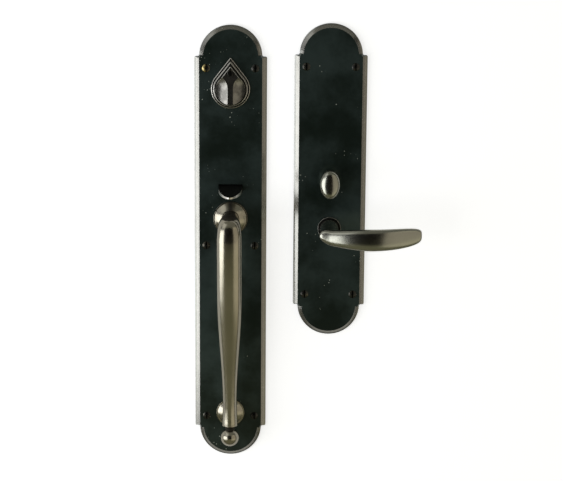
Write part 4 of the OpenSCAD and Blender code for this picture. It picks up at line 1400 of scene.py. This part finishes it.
    def finial(self, shop: Workshop, metal: bpy.types.Material) -> bpy.types.Mesh:
        """Turns the collar, the waist and the ball below the lower post.

        Args:
            shop: what the pieces are made with.
            metal: the bronze.

        Returns:
            The mesh.
        """
        waist = self.waist_r
        dip = math.degrees(math.acos(waist / self.ball_r))
        outline = [
            (0.0, 2.0), (waist, 2.0), (waist + 0.5, 3.4), (waist + 2.0, 5.0),
            (8.1, 5.9), (8.4, 6.3), (8.4, 7.1), (8.1, 7.5),
            (waist + 1.2, 8.4), (waist + 0.3, 9.1), (waist, 9.9),
        ]
        outline += arc((0.0, self.ball_drop), self.ball_r, -dip, 90.0, 36)
        at = self.face.point(0.0, self.lower_post_up, self.low_stand_off)
        return shop.bench.turn("finial", outline, 72, metal, at, along="down")


@dataclass
class LeverSet:
    """The lever with its bushing and spring. Sizes are in millimetres."""

    face: DoorFace = LEVER_FACE
    reach: float = 96.0
    nose: float = 11.0
    out: float = 43.0
    bow: float = 11.0
    half_h: float = 11.6
    root_half: float = 8.1
    half_t: float = 6.0
    tip_half_t: float = 3.6
    sag: float = 2.3
    rise: float = 3.5
    neck_r: float = 10.4
    neck_top_r: float = 6.4
    neck_from: float = 8.3
    shank_r: float = 9.0
    shank_from: float = -12.2
    coil_r: float = 11.5
    wire_r: float = 0.8
    coil_from: float = -7.2
    pitch: float = 2.1
    turns: float = 2.4667
    steps_a_turn: int = 40
    hook_out: float = -9.8
    leg: float = 5.0
    tip_power: float = 4.5
    thin_power: float = 0.35
    sag_run: float = 16.0
    square: float = 2.8
    sides: int = 80

    def half(self, x: float) -> float:
        """Half height of the blade at a distance from the spindle."""
        if x < 0:
            return self.root_half * math.sqrt(max(1 - (x / self.nose) ** 2, 0.0))
        share = math.sin(math.pi / 2 * min(2 * x / self.reach, 1.0))
        swell = self.root_half + (self.half_h - self.root_half) * share
        return swell * max(1 - (x / self.reach) ** self.tip_power, 0.0) ** 0.25

    def ring(self, x: float) -> list[Vector]:
        """Draws the ring of the blade at a distance from the spindle."""
        half = self.half(x)
        thick = self.half_t + (self.tip_half_t - self.half_t) * ease(x / self.reach)
        thick = thick * (half / self.half_h) ** self.thin_power
        up = self.rise * (max(x, 0.0) / self.reach) ** 3 - self.sag * ease((x + self.nose) / self.sag_run)
        lift = x if x > 0 else x + x * x / (2 * self.nose)
        out = self.out + self.bow * math.sin(math.pi * lift / self.reach)
        section = oval(half, thick, self.square, self.sides)
        return [self.face.point(x, up + rise, out + deep) for rise, deep in section]

    def rim_wear_and_shade(self, _middle: Vector, normal: Vector) -> float:
        """The bushing's eased rim is bare, painted shade lies on the rest."""
        # Painted shade everywhere but the rim.
        return 0.7 if 0.2 < normal.dot(FRONT) < 0.95 else -0.9

    def build(self, shop: Workshop) -> None:
        """Builds the lever, its bushing and its spring.

        Args:
            shop: what the pieces are made with.
        """
        tone, slot = Tone.LEVER_BRONZE, "rubbed_bronze"
        first, last = 0.02 - self.nose, self.reach - 0.03
        blade = loft("blade", [self.ring(first + (last - first) * ease(i / 120)) for i in range(121)])
        outline = [
            (0.0, self.shank_from), (self.shank_r, self.shank_from), (self.shank_r, self.neck_from),
            (self.neck_r - 0.2, self.neck_from), (self.neck_r, self.neck_from + 0.25),
            (self.neck_top_r, self.out - 1), (0.0, self.out - 1),
        ]
        neck = shop.bench.turn("neck", outline, 80, shop.metal(tone), self.face.point(0.0, 0.0, 0.0))
        shop.cast("lever_casting", [blade, neck], "lever", tone, slot, "lever")
        shop.dress("lever_bushing", "trims", Tone.TRIM_PATINA, slot, edge=0.3, rub=self.rim_wear_and_shade)
        self.wind_spring(shop)

    def wind_spring(self, shop: Workshop) -> None:
        """Winds the torsion spring, one end by the plate and the other by the lever; the spring stays fixed
        in place and doesn't follow the lever.

        Args:
            shop: what the pieces are made with.
        """
        path = [self.face.point(0.0, self.coil_r, self.hook_out)]
        steps = int(self.turns * self.steps_a_turn)
        for i in range(steps + 1):
            angle = math.pi / 2 + 2 * math.pi * self.turns * i / steps
            out = self.coil_from + self.pitch * self.turns * i / steps
            path.append(self.face.point(self.coil_r * math.cos(angle), self.coil_r * math.sin(angle), out))
        angle = math.pi / 2 + 2 * math.pi * self.turns
        far, coil_to = self.coil_r + self.leg, self.coil_from + self.pitch * self.turns
        path.append(self.face.point(far * math.cos(angle), far * math.sin(angle), coil_to))
        ends = (self.face.point(0.0, 0.0, self.coil_from), self.face.point(0.0, 0.0, coil_to))
        build_spring(shop, "lever_spring", path, self.wire_r, "trims", wound_by=("lever", *ends))


@dataclass
class TurnSet:
    """The oval turn knob with its bushing. Sizes are in millimetres."""

    face: DoorFace = INSIDE_FACE
    width: float = 21.2
    height: float = 31.5
    head_out: float = 14.0
    head_t: float = 13.0
    shank_r: float = 5.0
    shank_from: float = -5.6
    neck_from: float = 7.5
    square: float = 2.15
    end_power: int = 6
    sides: int = 88

    def head_rings(self, count: int = 60) -> list[list[Vector]]:
        """Draws the rings of the oval head along its height."""
        middle = self.head_out + self.head_t / 2
        stack = []
        for i in range(count + 1):
            up = self.height / 2 * math.cos(math.pi * (1 - i / count)) * 0.9995
            share = 2 * up / self.height
            half = self.width / 2 * math.sqrt(1 - share ** 2)
            deep = self.head_t / 2 * (1 - share ** self.end_power) ** 0.5
            section = oval(half, deep, self.square, self.sides)
            stack.append([self.face.point(across, up, middle + out) for across, out in section])
        return stack

    def build(self, shop: Workshop) -> None:
        """Builds the knob and its bushing.

        Args:
            shop: what the pieces are made with.
        """
        tone, slot = Tone.LEVER_BRONZE, "rubbed_bronze"
        outline = [
            (0.0, self.shank_from), (self.shank_r, self.shank_from), (self.shank_r, self.neck_from),
            (self.shank_r + 1.8, self.neck_from), (self.shank_r + 1, self.head_out + 3),
            (0.0, self.head_out + 3),
        ]
        neck = shop.bench.turn("turn neck", outline, 64, shop.metal(tone), self.face.point(0.0, 0.0, 0.0))
        head = loft("oval head", self.head_rings())
        shop.cast("turn_knob_casting", [head, neck], "turn_knob", tone, slot, "turn_knob")
        shop.dress("turn_bushing", "trims", tone, slot, edge=0.2, rub=never_rubbed)


@dataclass
class HiddenHardware:
    """Small hardware that keeps its CAD solid and gets its metal."""

    tones: dict[str, Tone] = field(default_factory=dict)

    def build(self, shop: Workshop, nodes: dict[str, bpy.types.Object]) -> None:
        """Paints every node.

        Args:
            shop: what the pieces are made with.
            nodes: the CAD nodes by name.
        """
        for name, obj in nodes.items():
            shop.palette.paint(obj, self.tones.get(name, Tone.ZINC_STEEL))
        log.info("hidden hardware: %d nodes", len(nodes))


# Studio


@dataclass(frozen=True)
class Lamp:
    """A soft rectangular lamp that faces the set.

    Azimuth and elevation are degrees to the right of the set's front and above it. Distance,
    width and height are in metres, and the level is the brightness of its face.
    """

    name: str
    azimuth: float
    elevation: float
    distance: float
    width: float
    height: float
    level: float
    colour: Place


LAMPS: tuple[Lamp, ...] = (
    Lamp("left softbox", -58.5, -9.0, 1.5, 1.34, 0.86, 2.7, (0.95, 0.97, 1.0)),
    Lamp("upper left fill", -56.0, 33.0, 1.5, 1.34, 1.05, 0.55, (0.97, 0.98, 1.0)),
    Lamp("right bounce", 50.0, -4.0, 1.5, 1.7, 1.7, 0.42, (1.0, 0.92, 0.76)),
    Lamp("floor card", 0.0, -51.0, 1.0, 3.6, 1.13, 0.18, (1.0, 0.97, 0.62)),
    Lamp("ceiling card", 0.0, 57.0, 1.1, 3.0, 1.5, 0.18, (1.0, 1.0, 0.86)),
)


@dataclass
class Studio:
    """Camera, white wall, soft lights and the dark room that the metal reflects."""

    camera_at: Place = (0.06008, -1.9908, 0.46418)
    camera_looks: Place = (-0.00283, 0.97437, -0.22495)
    camera_up: Place = (-0.00721, 0.22493, 0.97435)
    focal_px: float = 1912.1
    middle: Place = (0.06, 0.0, 0.02)
    wall_back: float = 0.0006
    wall_glow: float = 0.72
    mirrored: float = 0.25
    sky_level: float = 0.2
    wall_colour: float = 0.86
    mortise_shade: Place = (0.016, 0.0615, 0.008)
    room_half: Place = (3.2, 1.9, 3.2)
    room_gap: float = 0.002

    def build(self) -> None:
        """Builds the whole studio."""
        self.add_camera()
        self.add_wall()
        self.add_room()
        for lamp in LAMPS:
            self.add_lamp(lamp)
        self.add_world()
        scene = bpy.context.scene
        scene.view_settings.view_transform = "Standard"

    def add_camera(self) -> None:
        """Adds the camera at the photograph's viewing angle."""
        data = bpy.data.cameras.new("camera")
        data.sensor_fit = "HORIZONTAL"
        data.sensor_width = 36.0
        data.lens = self.focal_px / IMAGE_SIZE[0] * data.sensor_width
        data.clip_end = 20.0
        camera = bpy.data.objects.new("camera", data)
        bpy.context.scene.collection.objects.link(camera)
        looks = Vector(self.camera_looks).normalized()
        right = looks.cross(Vector(self.camera_up)).normalized()
        up = right.cross(looks)
        turn = Matrix((right, up, -looks)).transposed()
        camera.matrix_world = Matrix.Translation(self.camera_at) @ turn.to_4x4()
        bpy.context.scene.camera = camera

    def seen_share(self, tree: Tree) -> Socket:
        """Adds how strongly a ray sees the white surroundings: full, or weaker in the metal.

        Args:
            tree: the tree of the wall or of the world.

        Returns:
            The share.
        """
        path = add(tree, "ShaderNodeLightPath").outputs
        mirrored = maths(tree, "MULTIPLY", path["Is Glossy Ray"], self.mirrored)
        seen = maths(tree, "MAXIMUM", path["Is Camera Ray"], mirrored)
        return maths(tree, "MAXIMUM", seen, path["Is Transmission Ray"])

    def add_wall(self) -> None:
        """Adds the wall just behind the plates. Seen from behind it is clear."""
        mesh = bpy.data.meshes.new("wall")
        half, low, high = 6.0, -6.0, 0.42
        places = ((-half, low), (half, low), (half, high), (-half, high))
        mesh.from_pydata([(x, self.wall_back, z) for x, z in places], [], [(0, 1, 2, 3)])
        material = blank_material("white wall")
        tree = material.node_tree
        seen = self.seen_share(tree)
        # A near-black patch without glow paints shade behind the slot.
        solid = self.mortise_shade_mask(tree)
        shade = (self.wall_colour, self.wall_colour, self.wall_colour, 1)
        shade = mix_colour(tree, solid, (0.01, 0.01, 0.01, 1), shade)
        paint = add(tree, "ShaderNodeBsdfDiffuse", {"Color": shade}).outputs[0]
        strength = maths(tree, "MULTIPLY", maths(tree, "MULTIPLY", seen, solid), self.wall_glow)
        glow = {"Color": (0.985, 0.99, 1.0, 1), "Strength": strength}
        glow = add(tree, "ShaderNodeEmission", glow).outputs[0]
        both = add(tree, "ShaderNodeAddShader", {"0": paint, "1": glow}).outputs[0]
        clear = add(tree, "ShaderNodeBsdfTransparent").outputs[0]
        back = add(tree, "ShaderNodeNewGeometry").outputs["Backfacing"]
        show(tree, add(tree, "ShaderNodeMixShader", {"0": back, "1": both, "2": clear}).outputs[0])
        mesh.materials.append(material)
        link("wall", mesh)

    def mortise_shade_mask(self, tree: Tree) -> Socket:
        """Paints shade as a dark patch in the wall behind the thumb piece's slot, where the door's opening
        would be.

        Args:
            tree: the wall's material.

        Returns:
            A value that is 0 in the painted shade and 1 elsewhere.
        """
        place = add(tree, "ShaderNodeTexCoord").outputs["Object"]
        spot = add(tree, "ShaderNodeSeparateXYZ", {"Vector": place}).outputs
        half_w, middle_up, half_h = self.mortise_shade
        across = maths(tree, "LESS_THAN", maths(tree, "ABSOLUTE", spot["X"]), half_w)
        up = maths(tree, "ABSOLUTE", maths(tree, "SUBTRACT", spot["Z"], middle_up))
        up = maths(tree, "LESS_THAN", up, half_h)
        return maths(tree, "SUBTRACT", 1.0, maths(tree, "MULTIPLY", across, up))

    def add_room(self) -> None:
        """Adds the dark room in front of the wall. The camera looks through it."""
        mesh = bpy.data.meshes.new("dark room")
        shape = bmesh.new()
        bmesh.ops.create_cube(shape, size=2.0)
        bmesh.ops.scale(shape, vec=self.room_half, verts=shape.verts)
        bmesh.ops.translate(shape, vec=(0.0, -self.room_half[1] - self.room_gap, 0.0), verts=shape.verts)
        back = [f for f in shape.faces if f.normal.y > 0.9]
        bmesh.ops.delete(shape, geom=back, context="FACES")
        shape.to_mesh(mesh)
        shape.free()
        material = blank_material("black cloth")
        tree = material.node_tree
        camera = add(tree, "ShaderNodeLightPath").outputs["Is Camera Ray"]
        cloth = add(tree, "ShaderNodeBsdfDiffuse", {"Color": (0.012, 0.012, 0.013, 1)}).outputs[0]
        clear = add(tree, "ShaderNodeBsdfTransparent").outputs[0]
        show(tree, add(tree, "ShaderNodeMixShader", {"0": camera, "1": cloth, "2": clear}).outputs[0])
        mesh.materials.append(material)
        link("dark room", mesh)

    def add_lamp(self, lamp: Lamp) -> None:
        """Adds one lamp, which the camera doesn't see.

        Args:
            lamp: the lamp.
        """
        data = bpy.data.lights.new(lamp.name, "AREA")
        data.shape = "RECTANGLE"
        data.size = lamp.width
        data.size_y = lamp.height
        data.color = lamp.colour
        data.energy = lamp.level * math.pi * lamp.width * lamp.height
        obj = bpy.data.objects.new(lamp.name, data)
        bpy.context.scene.collection.objects.link(obj)
        side, rise = math.radians(lamp.azimuth), math.radians(lamp.elevation)
        away = Vector((math.sin(side) * math.cos(rise), -math.cos(side) * math.cos(rise), math.sin(rise)))
        obj.location = Vector(self.middle) + away * lamp.distance
        obj.rotation_euler = away.to_track_quat("Z", "Y").to_euler()
        obj.visible_camera = False

    def add_world(self) -> None:
        """Adds the white surroundings."""
        world = bpy.data.worlds.new("white surroundings")
        world.use_nodes = True
        bpy.context.scene.world = world
        tree = world.node_tree
        tree.nodes.clear()
        strength = maths(tree, "MAXIMUM", self.sky_level, self.seen_share(tree))
        sky = add(tree, "ShaderNodeBackground", {"Color": (1, 1, 1, 1), "Strength": strength})
        show(tree, sky.outputs[0], "ShaderNodeOutputWorld")


def main() -> None:
    """Builds the set and its studio."""
    shop = Workshop(Palette().build(), Bench())
    brass = {"cylinder_shell": Tone.LOCK_BRASS, "cylinder_plug": Tone.LOCK_BRASS}
    HiddenHardware(brass).build(shop, frame["nodes"])
    assemblies = (
        ArchedTrim(
            "outside_plate", "outside_screws", DoorFace(), Tone.OUTSIDE_PATINA,
            (-190.0, 0.0, 190.0), brassy=(-25.75, 190.0),
        ),
        ArchedTrim("inside_plate", "inside_screws", INSIDE_FACE, Tone.INSIDE_PATINA, (-122.5, 122.5)),
        CoveredCylinder(),
        ThumbLatch(),
        PullGrip(),
        LeverSet(),
        TurnSet(),
    )
    for assembly in assemblies:
        assembly.build(shop)
        log.info("%s is built", type(assembly).__name__)
    Studio().build()


if __name__ == "__main__":
    logging.basicConfig(level=logging.INFO, format="%(name)s: %(message)s")
    main()
